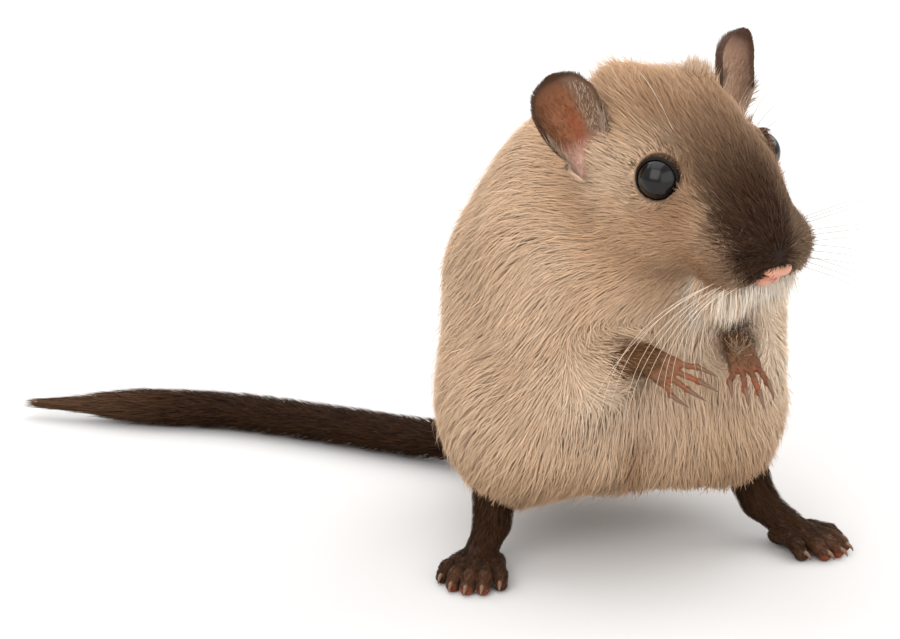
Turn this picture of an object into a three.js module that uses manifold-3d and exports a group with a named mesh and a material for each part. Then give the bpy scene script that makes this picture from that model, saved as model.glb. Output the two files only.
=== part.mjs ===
// A Mongolian gerbil, life size, standing up on its two hind feet with its forepaws held at the chest,
// its head turned to its left and its tail laid out on the floor behind it.
//
// Sizes are millimetres. +X is the animal's left, -Y the way its chest faces and +Z up. The floor is z = 0.
// Soft parts reach out to the tips of the coat. The whole body is one rounded form, built from named eggs
// and tapered limbs that melt into one another, and is parted into its named pieces by thin cuts.
import * as THREE from "three";
import { mergeVertices } from "three/addons/utils/BufferGeometryUtils.js";
import Module from "manifold-3d";

const wasm = await Module();
wasm.setup();

// ---- Driving dimensions ---------------------------------------------------------------------------------

const GAP = 0.3; // between pieces that touch
const SIDES = [
  ["right", -1],
  ["left", 1],
];

const HEAD_AT = [8.8, -14.6, 59.4]; // midway between the eyes
const HEAD_YAW = 23; // degrees, turned to the animal's left
const HEAD_PITCH = 25; // degrees, nose down
const HEAD_ROLL = -2; // degrees

const EYE_RADIUS = 3.05;
const EYE_AT = [9.8, -1.5, 0.8]; // of the left eye, in the head's frame; the right one mirrors it
const EYE_LOOKS = [0.86, -0.44, 0.26];
const ORBIT_SINKS = 0.7; // how far the eye stands out of its socket
const LID_OPENING = 2.75; // radius of the gap between the lids

// Each ear's root and tip, for the left side of the head's frame, and the way its hollow faces.
const EARS = {
  right: { root: [12, 6.8, -5.4], tip: [18, 16.4, 7.2], faces: [0.3, -0.95, 0.1] },
  left: { root: [11.6, 8, -5.4], tip: [18.2, 16.6, 7.8], faces: [0.12, -0.99, 0.1] },
};
const EAR_HALF_WIDTH = 5.8;
const EAR_WIDEST = 0.62; // share of its height
const EAR_THICKNESS = 0.6;

const NOSE_AT = [0, -18.7, -4.5];
const MUZZLE_MIDDLE = [0, -10, -6];
const LIP_LINE = [
  [0.3, -18, -9.2],
  [2.8, -16, -10.2],
  [5.4, -11.5, -9.6],
];
const MOUTH_WIDTH = 0.5;
const MOUTH_DEPTH = 1.4;
const PHILTRUM_AT = [0, -18.6, -7.6];
const PHILTRUM_RADII = [0.22, 0.7, 1.4];

// The two cuts of the neck, each a plane that faces down and back into the trunk.
const HEAD_CUT = { normal: [-0.25, 0.64, -0.73], point: [9, -21, 44] };
const TRUNK_CUT = { normal: [-0.16, 0.45, -0.88], point: [9, -21, 40.5] };
const OVERRUN = 6; // how far the neck's surface is made on past its cuts
const NECK_SPINE = [
  [5, -3, 56],
  [4.4, -1.6, 53.4],
];

// The trunk's haunches, and the balls that part the thighs from it.
const HAUNCH_AT = [14.4, -1.5, 20];
const HAUNCH_RADII = [12, 17, 13.6];
const THIGH_CUT_AT = [23, -3.5, 20];
const THIGH_CUT_RADII = [14, 16, 13];

// Each upper arm, and how far out of the trunk the cutter stands that parts it.
const UPPER_ARMS = {
  right: { shoulder: [-13, -4, 44], elbow: [-10, -14.5, 30], outward: [-5, -3.4, 0] },
  left: { shoulder: [16.5, -6, 44], elbow: [15.8, -15, 30.5], outward: [4.6, -3.4, 0] },
};
const UPPER_ARM_RADIUS = 7.2;
const ELBOW_RADIUS = 6.6;

// Each forearm, with the way its hand points and the way its knuckles run.
const ARMS = {
  right: {
    elbow: [-12, -13, 30],
    wrist: [-2.2, -24, 34.2],
    points: [0.735, -0.53, -0.42],
    across: [0.6, 0.1, 0.778],
  },
  left: {
    elbow: [14.5, -12, 32],
    wrist: [10.8, -25, 35.6],
    points: [0.02, -0.72, -0.69],
    across: [0.966, -0.259, 0],
  },
};
// Each finger's place at its knuckle and at its tip, aside from the hand's middle, and its reach.
const FINGERS = [
  { from: -1.5, to: -2.6, length: 5.8 },
  { from: -0.5, to: -0.8, length: 7.4 },
  { from: 0.5, to: 1, length: 8.2 },
  { from: 1.5, to: 2.6, length: 7 },
];
const PALM_LENGTH = 3.6;
const HAND_CLAW = 2.6;
const WRIST_RADIUS = 2.2;

const LEGS = {
  right: {
    knee: [-18.5, -4.5, 12],
    ankle: [-20.3, -8.6, 5.4],
    ball: [-23.2, -12.8, 2.6],
    points: [-0.478, -0.878],
  },
  left: {
    knee: [18.5, -6, 12],
    ankle: [20.4, -10.2, 5.4],
    ball: [23.7, -14, 2.6],
    points: [0.593, -0.806],
  },
};
// Each toe's place at its knuckle and at its tip, aside from the foot's middle, and where it starts and ends.
const TOES = [
  { from: -2.5, to: -4.4, start: 0.8, length: 6 },
  { from: -1.35, to: -2.3, start: 2, length: 8.6 },
  { from: 0, to: -0.05, start: 2.2, length: 9.4 },
  { from: 1.35, to: 2.2, start: 2, length: 8.9 },
  { from: 2.5, to: 4.3, start: 1.2, length: 6.8 },
];
const TOE_RADIUS = 1.2;
const FOOT_CLAW = 0.9;

const TAIL_ROUTE = [
  [0, 18, 14],
  [-5, 24.5, 8.6],
  [-11.5, 28, 4.8],
  [-19.6, 34.2, 3.6],
  [-31.4, 44.5, 3.3],
  [-44.9, 55, 3.1],
  [-60, 62.2, 3],
  [-77, 70.2, 2.4],
];
const TAIL_RADIUS = 3.7; // at the root
const TAIL_TAPER = 0.16; // share of the radius lost before the brush
const BRUSH_SHARE = 0.3; // share of the tail's length over which its brush comes to a point
const TAIL_PARTS = [0.4, 0.7]; // shares of its length where it is parted
const LOCK_ROWS = [0.8, 0.86, 0.915]; // shares of its length where rings of hair locks leave the brush
const LOCKS_ROUND = 5;
const LOCK_LENGTH = 7;

// The lines that the body's meshes are cast from, and how fine the meshes are.
const TRUNK_SPINE = [
  [0, 4, 21],
  [1.5, 2, 34],
  [4, 0, 49],
];
const TRUNK_MESH = { rows: 12, capRows: 6, sides: 40 };
const HEAD_SPINE = [
  [0, -13, -5.4],
  [0, -4, -3],
  [0, 7, -2.5],
];
const HEAD_MESH = { rows: 14, capRows: 7, sides: 34, across: [0.92, 0.39, 0] };

// ---- Fields: a point's distance to a rounded form, negative inside it ------------------------------------

function egg([cx, cy, cz], [rx, ry, rz]) {
  return (p) => {
    const x = (p.x - cx) / rx;
    const y = (p.y - cy) / ry;
    const z = (p.z - cz) / rz;
    const reach = Math.hypot(x, y, z);
    const slope = Math.hypot(x / rx, y / ry, z / rz);
    return slope < 1e-9 ? -Math.min(rx, ry, rz) : (reach * (reach - 1)) / slope;
  };
}

function limb([ax, ay, az], fromRadius, [bx, by, bz], toRadius) {
  const dx = bx - ax;
  const dy = by - ay;
  const dz = bz - az;
  const lengthSquared = dx * dx + dy * dy + dz * dz;
  return (p) => {
    const along = ((p.x - ax) * dx + (p.y - ay) * dy + (p.z - az) * dz) / lengthSquared;
    const t = Math.min(1, Math.max(0, along));
    const away = Math.hypot(p.x - ax - t * dx, p.y - ay - t * dy, p.z - az - t * dz);
    return away - fromRadius - (toRadius - fromRadius) * t;
  };
}

// The union of fields, with the crease between them filled to a fillet.
function melt(softness, ...fields) {
  return (p) =>
    fields.reduce((total, field) => {
      const next = field(p);
      const blend = Math.max(softness - Math.abs(total - next), 0) / softness;
      return Math.min(total, next) - (blend * blend * softness) / 4;
    }, 1e3);
}

const within = (a, b) => (p) => Math.max(a(p), b(p));
const grown = (field, by) => (p) => field(p) - by;
const mirrored = ([x, y, z], side) => [side * x, y, z];
const both = (make) => SIDES.map(([, side]) => make(side));

// ---- The animal's forms ----------------------------------------------------------------------------------

const radians = THREE.MathUtils.degToRad;
const headFrame = new THREE.Matrix4().compose(
  new THREE.Vector3(...HEAD_AT),
  new THREE.Quaternion().setFromEuler(
    new THREE.Euler(radians(HEAD_PITCH), radians(HEAD_ROLL), radians(HEAD_YAW), "ZXY"),
  ),
  new THREE.Vector3(1, 1, 1),
);
const intoHead = headFrame.clone().invert();

const skull = melt(
  4,
  egg([0, 7.5, -1.4], [12, 11.8, 9.6]), // braincase
  egg([-4.8, 12, 0.8], [5.8, 8, 7]), // fur ruffled up on the right of the crown
  egg([0, -1.5, -1.4], [9, 11, 8.8]), // forehead
  egg([0, -8, -3], [7.6, 10.5, 7.4]), // muzzle
  ...both((side) => egg([side * 6.4, 1, -6.6], [6.8, 11.4, 8])), // cheeks
  limb([0, 3, -10], 6.4, [0, -12.2, -10.2], 3.8), // lower jaw
);
const face = melt(
  2,
  skull,
  ...both((side) => egg([side * 4.5, -13.3, -4.9], [5.1, 5.2, 5.1])), // whisker pads
  egg([-11.2, 8.2, -3.8], [3.2, 3.6, 4.6]), // root of the right ear
  egg([10.8, 9, -3.6], [3, 3.6, 4.4]), // root of the left ear
);
const ORBIT_AT = EYE_AT.map((at, i) => at - ORBIT_SINKS * EYE_LOOKS[i]);
const orbit = (side) => limb([side * 6, 0, 0], EYE_RADIUS, mirrored(ORBIT_AT, side), EYE_RADIUS);
const snout = egg([0, -17.8, -4.5], [3, 1.7, 2]);
const headOnly = melt(2.4, face, snout, ...both(orbit));

const trunkOnly = melt(
  6,
  egg([0, 8, 24], [22, 20.5, 17.5]), // rump
  egg([0.5, -2, 25], [20, 17.5, 18]), // belly
  ...both((side) => egg(mirrored(HAUNCH_AT, side), HAUNCH_RADII)),
  egg([-0.7, 8, 37], [22.3, 18.8, 19]), // back
  egg([3, -2, 38], [19.5, 16.5, 18]), // chest
  egg([1.5, 5, 50], [18, 17, 14]), // shoulders
  ...Object.values(UPPER_ARMS).map((arm) => limb(arm.shoulder, UPPER_ARM_RADIUS, arm.elbow, ELBOW_RADIUS)),
);
const neckOnly = limb([1.5, 7, 50], 14, [4.8, -0.5, 57.5], 11);

const inHead = new THREE.Vector3();
const body = melt(5, trunkOnly, neckOnly, (p) => headOnly(inHead.copy(p).applyMatrix4(intoHead)));

// ---- Surfaces --------------------------------------------------------------------------------------------

// How far a ray from inside a field runs before it leaves it.
function reach(field, origin, direction, limit = 90) {
  const p = new THREE.Vector3();
  const at = (t) => field(p.copy(origin).addScaledVector(direction, t));
  let inside = 0;
  let outside = 0;
  while (outside < limit) {
    const depth = -at(outside);
    if (depth <= 0) break;
    inside = outside;
    outside += Math.max(depth * 0.6, 0.05);
  }
  for (let i = 0; i < 24; i++) {
    const middle = (inside + outside) / 2;
    if (at(middle) < 0) inside = middle;
    else outside = middle;
  }
  return outside;
}

const geometryOf = (points, triangles) =>
  new THREE.BufferGeometry().setFromPoints(points).setIndex(triangles);

// Triangles that join rings of points into one closed skin, from a first pole to a last one.
function ringTriangles(rings, sides) {
  const last = 1 + rings * sides;
  const triangles = [];
  const at = (ring, side) => 1 + ring * sides + ((side + sides) % sides);
  for (let side = 0; side < sides; side++) {
    triangles.push(0, at(0, side + 1), at(0, side));
    for (let ring = 0; ring + 1 < rings; ring++) {
      const [a, b, c, d] = [at(ring, side), at(ring, side + 1), at(ring + 1, side), at(ring + 1, side + 1)];
      triangles.push(a, b, d, a, d, c);
    }
    triangles.push(last, at(rings - 1, side), at(rings - 1, side + 1));
  }
  return triangles;
}

// A closed mesh over a field, found by rays from a spine inside it. Rows of rays leave the spine square to
// it, and fans of rays close the two ends.
function wrap(field, spine, { rows, capRows, sides, across = [1, 0, 0] }) {
  const curve = new THREE.CatmullRomCurve3(spine.map((p) => new THREE.Vector3(...p)));
  const points = [];
  const cast = (at, lean, turn) => {
    const origin = curve.getPointAt(at);
    const forward = curve.getTangentAt(at);
    const v = new THREE.Vector3().crossVectors(forward, new THREE.Vector3(...across)).normalize();
    const u = new THREE.Vector3().crossVectors(v, forward);
    const direction = forward.multiplyScalar(-Math.cos(lean));
    direction.addScaledVector(u, Math.sin(lean) * Math.cos(turn));
    direction.addScaledVector(v, Math.sin(lean) * Math.sin(turn));
    points.push(origin.addScaledVector(direction, reach(field, origin, direction)));
  };
  const ring = (at, lean) => {
    for (let side = 0; side < sides; side++) cast(at, lean, (side / sides) * 2 * Math.PI);
  };
  cast(0, 0, 0);
  for (let i = 1; i < capRows; i++) ring(0, (i / capRows) * (Math.PI / 2));
  for (let i = 0; i <= rows; i++) ring(i / rows, Math.PI / 2);
  for (let i = capRows - 1; i > 0; i--) ring(1, Math.PI - (i / capRows) * (Math.PI / 2));
  cast(1, Math.PI, 0);
  return solid(geometryOf(points, ringTriangles(rows + 1 + 2 * (capRows - 1), sides)));
}

// A round rod along a curve, with a radius for any share of its length. A blunt end stops flat.
function rod(route, radiusAt, { rows, sides, flatten = 1, up = [0, 0, 1] }) {
  const curve = new THREE.CatmullRomCurve3(route.map((p) => new THREE.Vector3(...p)), false, "centripetal");
  const points = [curve.getPoint(0)];
  for (let row = 0; row <= rows; row++) {
    const share = row / rows;
    const centre = curve.getPointAt(share);
    const forward = curve.getTangentAt(share);
    const u = new THREE.Vector3().crossVectors(forward, new THREE.Vector3(...up)).normalize();
    const v = new THREE.Vector3().crossVectors(forward, u);
    const radius = radiusAt(share);
    for (let side = 0; side < sides; side++) {
      const turn = (side / sides) * 2 * Math.PI;
      points.push(
        centre
          .clone()
          .addScaledVector(u, radius * Math.cos(turn))
          .addScaledVector(v, radius * flatten * Math.sin(turn)),
      );
    }
  }
  points.push(curve.getPoint(1));
  return solid(geometryOf(points, ringTriangles(rows + 1, sides)));
}

// A rod whose two ends are rounded over the given shares of its length. It can be grown all round.
function roundedRod(route, fromRadius, toRadius, options) {
  const { by = 0, startShare = 0.15, endShare = 0.15, blunt = 0.05 } = options;
  const dome = (share, over, least) =>
    share >= over ? 1 : least + (1 - least) * Math.sqrt(Math.max(0, 1 - (1 - share / over) ** 2));
  const radiusAt = (share) => {
    const radius = fromRadius + (toRadius - fromRadius) * share + by;
    return radius * dome(share, startShare, 0.05) * dome(1 - share, endShare, blunt);
  };
  return rod(lengthened(route, by), radiusAt, options);
}

function lengthened(route, by) {
  const points = route.map(vector);
  const last = points.length - 1;
  const first = points[0].clone().sub(points[1]).setLength(by);
  const final = points[last].clone().sub(points[last - 1]).setLength(by);
  points[0].add(first);
  points[last].add(final);
  return points.map((p) => p.toArray());
}

// ---- Solids ----------------------------------------------------------------------------------------------

function solid(geometry) {
  const bare = geometry.index ? geometry.toNonIndexed() : geometry.clone();
  for (const name of Object.keys(bare.attributes)) if (name !== "position") bare.deleteAttribute(name);
  const merged = mergeVertices(bare, 1e-4);
  return new wasm.Manifold(
    new wasm.Mesh({
      numProp: 3,
      vertProperties: new Float32Array(merged.attributes.position.array),
      triVerts: new Uint32Array(merged.index.array),
    }),
  );
}

const ball = (centre, radii, detail = 16) =>
  solid(new THREE.SphereGeometry(1, detail, detail / 2).scale(...radii).translate(...centre));

// The largest closed body of a solid, without the scraps that a cut can leave.
const largest = (made) => made.decompose().sort((a, b) => b.volume() - a.volume())[0];
const aboveFloor = (made) => made.trimByPlane([0, 0, 1], 0);

// The part of a solid past a plane, on the side its normal points to, or short of it.
const past = (made, plane) => made.trimByPlane(plane.normal.toArray(), -plane.constant);
const shortOf = (made, plane) => made.trimByPlane(plane.normal.clone().negate().toArray(), plane.constant);
const moved = (plane, by) => new THREE.Plane(plane.normal.clone(), plane.constant - by);

const vector = (p) => new THREE.Vector3(...p);
const planeAt = (normal, point) =>
  new THREE.Plane().setFromNormalAndCoplanarPoint(vector(normal).normalize(), vector(point));
const ofHead = (p) => vector(p).applyMatrix4(headFrame).toArray();

const nodes = [];
const looks = {
  coat: { color: 0xb59674, roughness: 0.85 },
  dark_coat: { color: 0x35271b, roughness: 0.85 },
  ear: { color: 0x6e4f3d, roughness: 0.7 },
  nose: { color: 0xb07a6c, roughness: 0.5 },
  paw: { color: 0x4a3226, roughness: 0.7 },
  claw: { color: 0x5b4236, roughness: 0.4 },
  eye: { color: 0x0b0a0a, roughness: 0.05 },
};
function add(name, look, made) {
  const material = new THREE.MeshStandardMaterial({ ...looks[look], metalness: 0 });
  nodes.push({ name, material, solid: largest(made) });
}

// ---- Trunk, neck and head --------------------------------------------------------------------------------

const headEdge = planeAt(HEAD_CUT.normal, HEAD_CUT.point);
const trunkEdge = planeAt(TRUNK_CUT.normal, TRUNK_CUT.point);

const trunkField = (by) => within(grown(body, by), (p) => -headEdge.distanceToPoint(p));
const trunk = wrap(trunkField(0), TRUNK_SPINE, TRUNK_MESH);
const trunkGrown = wrap(trunkField(GAP), TRUNK_SPINE, TRUNK_MESH);

// The cutters that part the thighs and upper arms from the trunk sit astride its surface.
const thighCut = (side, by) => ball(mirrored(THIGH_CUT_AT, side), THIGH_CUT_RADII.map((r) => r + by), 26);
function upperArmCut({ shoulder, elbow, outward }, by) {
  const out = ([x, y, z]) => [x + outward[0], y + outward[1], z + outward[2]];
  const [from, to] = [out(shoulder), out(elbow)];
  const field = limb(from, UPPER_ARM_RADIUS + by, to, ELBOW_RADIUS + by);
  return wrap(field, [from, to], { rows: 3, capRows: 4, sides: 20 });
}

function addTrunk() {
  let torso = past(trunk, trunkEdge);
  for (const [name, side] of SIDES) {
    const arm = UPPER_ARMS[name];
    const thigh = torso.intersect(thighCut(side, 0)).subtract(upperArmCut(arm, GAP));
    add("thigh_" + name, "coat", thigh);
    add("upper_arm_" + name, "coat", torso.intersect(upperArmCut(arm, 0)));
    torso = torso.subtract(thighCut(side, GAP)).subtract(upperArmCut(arm, GAP));
  }
  add("torso", "coat", torso);
}

function addNeck() {
  const pastHead = (p) => -headEdge.distanceToPoint(p) - OVERRUN;
  const shortOfTrunk = (p) => trunkEdge.distanceToPoint(p) - OVERRUN;
  const field = within(body, within(pastHead, shortOfTrunk));
  const wrapped = wrap(field, NECK_SPINE, { rows: 2, capRows: 7, sides: 36 });
  add("neck", "coat", shortOf(past(wrapped, moved(headEdge, GAP)), moved(trunkEdge, -GAP)));
}

const headSpine = HEAD_SPINE.map(ofHead);
const headField = (by) => within(grown(body, by), (p) => trunkEdge.distanceToPoint(p));

function addHead() {
  let head = shortOf(wrap(headField(0), headSpine, HEAD_MESH), headEdge);
  for (const [name, side] of SIDES) {
    const centre = ofHead(mirrored(EYE_AT, side));
    head = head.add(lidRing(side));
    head = head.subtract(ball(centre, [EYE_RADIUS + GAP, EYE_RADIUS + GAP, EYE_RADIUS + GAP]));
    head = head.subtract(lidGap(side));
    add("eye_" + name, "eye", ball(centre, [EYE_RADIUS, EYE_RADIUS, EYE_RADIUS]));
  }
  head = head.subtract(nosePad(GAP)).subtract(mouthLine());
  add("head", "coat", head);
  add("nose", "nose", nosePad(0).subtract(nostrils()));
}

// Things on the head are made in its own frame and moved out into the animal's.
const placedOnHead = (geometry) => solid(geometry.applyMatrix4(headFrame));
const facing = (geometry, direction) =>
  geometry.applyQuaternion(new THREE.Quaternion().setFromUnitVectors(new THREE.Vector3(0, 0, 1), direction));

function lidRing(side) {
  const out = vector(mirrored(EYE_LOOKS, side)).normalize();
  const rise = Math.sqrt((EYE_RADIUS + 0.2) ** 2 - LID_OPENING ** 2);
  const centre = vector(mirrored(EYE_AT, side)).addScaledVector(out, rise);
  const ring = facing(new THREE.TorusGeometry(LID_OPENING + 0.2, 0.4, 6, 20), out);
  return placedOnHead(ring.translate(...centre));
}

function lidGap(side) {
  const out = vector(mirrored(EYE_LOOKS, side)).normalize();
  const bore = new THREE.CylinderGeometry(LID_OPENING, LID_OPENING, 6, 20).rotateX(Math.PI / 2);
  const centre = vector(mirrored(EYE_AT, side)).addScaledVector(out, 4.2);
  return placedOnHead(facing(bore, out).translate(...centre));
}

function nosePad(by) {
  const pad = new THREE.SphereGeometry(1, 16, 10).scale(3.2 + by, 1.6 + by, 1.8 + by);
  return placedOnHead(pad.rotateX(0.35).translate(...NOSE_AT));
}

function nostrils() {
  const pits = both((side) => {
    const pit = new THREE.SphereGeometry(1, 8, 6).scale(0.75, 1, 0.4).rotateZ(side * 0.5);
    return placedOnHead(pit.translate(side * 1.15, NOSE_AT[1] - 1.35, NOSE_AT[2] - 0.35));
  });
  return pits[0].add(pits[1]);
}

// The point where a ray from the middle of the muzzle comes out of the head.
function onMuzzle([x, y, z]) {
  const from = vector(MUZZLE_MIDDLE);
  const direction = new THREE.Vector3(x, y, z).sub(from).normalize();
  return from.addScaledVector(direction, reach(headOnly, from, direction));
}

// Thin blades sunk along the lips, and a notch under the nose, cut the mouth's crease.
function mouthLine() {
  const up = new THREE.Vector3(0, 0, 1).transformDirection(headFrame).toArray();
  const onSkin = (p) => onMuzzle(p).applyMatrix4(headFrame).toArray();
  const blade = { rows: 12, sides: 6, flatten: MOUTH_DEPTH / MOUTH_WIDTH, up };
  const lips = both((side) =>
    rod(LIP_LINE.map((p) => onSkin(mirrored(p, side))), () => MOUTH_WIDTH / 2, blade),
  );
  return lips[0].add(lips[1]).add(ball(onSkin(PHILTRUM_AT), PHILTRUM_RADII, 8));
}

// ---- Ears ------------------------------------------------------------------------------------------------

// Half the ear's width at a share of its height, and half the angle its cupped section goes through.
const earHalfWidth = (v) =>
  v < EAR_WIDEST
    ? EAR_HALF_WIDTH * (0.4 + 0.6 * THREE.MathUtils.smootherstep(v / EAR_WIDEST, -0.15, 1))
    : EAR_HALF_WIDTH * Math.sqrt(Math.max(0, 1 - ((v - EAR_WIDEST) / (1 - EAR_WIDEST)) ** 2.2));
const earHalfAngle = (v) => radians(112 - 66 * Math.min(1, v / 0.75));

function ear(name, side) {
  const rows = 10;
  const columns = 9;
  const { root, tip, faces } = EARS[name];
  const rootPoint = vector(mirrored(root, side));
  const axis = vector(mirrored(tip, side)).sub(rootPoint);
  const up = axis.clone().normalize();
  const front = vector(mirrored(faces, side));
  front.addScaledVector(up, -front.dot(up)).normalize();
  const across = new THREE.Vector3().crossVectors(up, front);
  const points = [];
  for (const layer of [-1, 1]) {
    for (let row = 0; row <= rows; row++) {
      const v = Math.sin(((row / rows) * Math.PI) / 2) * 0.995;
      const angle = earHalfAngle(v);
      const radius = Math.max(earHalfWidth(v) / Math.sin(Math.min(angle, Math.PI / 2)), 0.8);
      const arc = Math.min(angle, earHalfWidth(v) / radius + (angle > Math.PI / 2 ? angle : 0));
      for (let column = 0; column <= columns; column++) {
        const turn = ((column / columns) * 2 - 1) * arc;
        const wall = radius + (layer * EAR_THICKNESS) / 2;
        points.push(
          rootPoint
            .clone()
            .addScaledVector(axis, v)
            .addScaledVector(across, wall * Math.sin(turn))
            .addScaledVector(front, radius * 0.7 - wall * Math.cos(turn)),
        );
      }
    }
  }
  return placedOnHead(geometryOf(points, sheetTriangles(rows, columns)));
}

// Triangles that close two like sheets of points, one over the other, into a thin plate.
function sheetTriangles(rows, columns) {
  const layerSize = (rows + 1) * (columns + 1);
  const at = (layer, row, column) => layer * layerSize + row * (columns + 1) + column;
  const triangles = [];
  const quad = (a, b, c, d) => triangles.push(a, c, b, a, d, c);
  for (let row = 0; row < rows; row++) {
    for (let column = 0; column < columns; column++) {
      quad(at(1, row, column), at(1, row, column + 1), at(1, row + 1, column + 1), at(1, row + 1, column));
      quad(at(0, row, column), at(0, row + 1, column), at(0, row + 1, column + 1), at(0, row, column + 1));
    }
    quad(at(0, row, 0), at(1, row, 0), at(1, row + 1, 0), at(0, row + 1, 0));
    quad(at(1, row, columns), at(0, row, columns), at(0, row + 1, columns), at(1, row + 1, columns));
  }
  for (let column = 0; column < columns; column++) {
    quad(at(0, 0, column), at(0, 0, column + 1), at(1, 0, column + 1), at(1, 0, column));
    quad(at(1, rows, column), at(1, rows, column + 1), at(0, rows, column + 1), at(0, rows, column));
  }
  return triangles;
}

function addEars() {
  const skin = wrap(headField(GAP), headSpine, HEAD_MESH);
  for (const [name, side] of SIDES) add("ear_" + name, "ear", ear(name, side).subtract(skin));
}

// ---- Arms and hands --------------------------------------------------------------------------------------

function handFrame(arm) {
  const points = vector(arm.points).normalize();
  const across = vector(arm.across);
  across.addScaledVector(points, -across.dot(points)).normalize();
  const back = new THREE.Vector3().crossVectors(points, across);
  const wrist = vector(arm.wrist);
  return (along, aside, lift) =>
    wrist
      .clone()
      .addScaledVector(points, along)
      .addScaledVector(across, aside)
      .addScaledVector(back, lift)
      .toArray();
}

function hand(at, by) {
  const route = [at(-1.5, 0, 0), at(PALM_LENGTH * 0.5, 0, 0.2), at(PALM_LENGTH + 0.8, 0, 0)];
  const palmShape = { by, rows: 6, sides: 10, startShare: 0.1, endShare: 0.3, blunt: 0.5 };
  const fingerShape = { by, rows: 5, sides: 7, endShare: 0.2, blunt: 0.5 };
  const palm = roundedRod(route, WRIST_RADIUS - 0.2, 1.9, palmShape);
  return FINGERS.reduce((made, { from, to, length }) => {
    const bend = at(PALM_LENGTH + (length - PALM_LENGTH) * 0.5, (from + to) / 2, 0.5);
    const bones = [at(PALM_LENGTH - 1, from, 0.1), bend, at(length, to, -0.3)];
    return made.add(roundedRod(bones, 0.8, 0.62, fingerShape));
  }, palm);
}

function addArm(name) {
  const arm = ARMS[name];
  const at = handFrame(arm);
  const wristEdge = planeAt(arm.points, arm.wrist);
  const route = [arm.elbow, arm.wrist, at(2, 0, 0)];
  const forearm = roundedRod(route, WRIST_RADIUS + 2.4, WRIST_RADIUS - 0.4, { rows: 8, sides: 12 });
  add("forearm_" + name, "paw", shortOf(forearm, moved(wristEdge, -GAP)).subtract(trunkGrown));
  add("hand_" + name, "paw", past(hand(at, 0), wristEdge).subtract(trunkGrown));
  const grownHand = hand(at, GAP);
  FINGERS.forEach(({ to, length }, i) => {
    const end = length + HAND_CLAW;
    const middle = at(length + HAND_CLAW / 2, to * 1.08, 0.1);
    const curve = [at(length - 1, to, 0.1), middle, at(end, to * 1.1, -0.6)];
    const claw = rod(curve, (share) => 0.48 - 0.32 * share, { rows: 3, sides: 6 });
    add("claw_hand_" + name + "_" + (i + 1), "claw", claw.subtract(grownHand));
  });
}

// ---- Legs and feet ---------------------------------------------------------------------------------------

function footFrame(leg) {
  const [fx, fy] = leg.points;
  const [x, y] = leg.ball;
  return (along, aside, height) => [x + fx * along - fy * aside, y + fy * along + fx * aside, height];
}

function foot(leg, by) {
  const at = footFrame(leg);
  const soleShape = { by, rows: 8, sides: 12, endShare: 0.2, blunt: 0.5 };
  const toeShape = { by, rows: 5, sides: 8, endShare: 0.15, blunt: 0.6 };
  const sole = roundedRod([leg.knee, leg.ankle, leg.ball, at(3, 0, 1.9)], 3, 2.6, soleShape);
  return TOES.reduce((made, { from, to, start, length }) => {
    const bones = [
      at(start - 1.5, from, 2.1),
      at(start + 1.2, from * 1.2, 2.3),
      at((start + length) * 0.58, (from + to) / 2 + to * 0.15, 2.2),
      at(length, to, 1),
    ];
    return made.add(roundedRod(bones, TOE_RADIUS + 0.2, TOE_RADIUS, toeShape));
  }, sole);
}

function addLeg(name) {
  const leg = LEGS[name];
  const at = footFrame(leg);
  const down = vector(leg.ball).sub(vector(leg.ankle));
  const ankleEdge = planeAt(down.toArray(), leg.ankle);
  const whole = aboveFloor(foot(leg, 0)).subtract(trunkGrown);
  add("lower_leg_" + name, "paw", shortOf(whole, moved(ankleEdge, -GAP)));
  add("foot_" + name, "paw", past(whole, ankleEdge));
  const grownFoot = foot(leg, GAP);
  TOES.forEach(({ to, length }, i) => {
    const end = length + FOOT_CLAW;
    const middle = at(length + FOOT_CLAW / 2, to * 1.03, 1.35);
    const curve = [at(length - 0.8, to, 1.5), middle, at(end, to * 1.05, 0.5)];
    const claw = rod(curve, (share) => 0.42 - 0.2 * share, { rows: 3, sides: 6 });
    add("claw_foot_" + name + "_" + (i + 1), "claw", claw.subtract(grownFoot));
  });
}

// ---- Tail ------------------------------------------------------------------------------------------------

const tailRadius = (share) => {
  const brush = Math.max(0, (share - 1 + BRUSH_SHARE) / BRUSH_SHARE);
  return TAIL_RADIUS * (1 - TAIL_TAPER * share) * Math.sqrt(1 - brush ** 2 * 0.97);
};

const tailCurve = new THREE.CatmullRomCurve3(TAIL_ROUTE.map(vector), false, "centripetal");

// Flat tapered locks of hair that leave the brush at a slant and come together past its end.
function tailLocks() {
  const locks = [];
  LOCK_ROWS.forEach((share, row) => {
    const centre = tailCurve.getPointAt(share);
    const along = tailCurve.getTangentAt(share);
    const aside = new THREE.Vector3().crossVectors(along, new THREE.Vector3(0, 0, 1)).normalize();
    const up = new THREE.Vector3().crossVectors(aside, along);
    const lift = tailRadius(share);
    for (let i = 0; i < LOCKS_ROUND; i++) {
      const turn = ((i + (row % 2) / 2) / LOCKS_ROUND) * 2 * Math.PI;
      const out = aside.clone().multiplyScalar(Math.cos(turn)).addScaledVector(up, Math.sin(turn));
      const spot = (ahead, height) =>
        centre.clone().addScaledVector(along, ahead).addScaledVector(out, height * lift).toArray();
      const route = [spot(-2, 0.5), spot(LOCK_LENGTH * 0.4, 0.95), spot(LOCK_LENGTH, 0.45)];
      const width = (t) => 1.1 * (1 - 0.8 * t ** 1.5);
      locks.push(rod(route, width, { rows: 3, sides: 4, flatten: 0.5, up: out.toArray() }));
    }
  });
  return locks;
}

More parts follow.
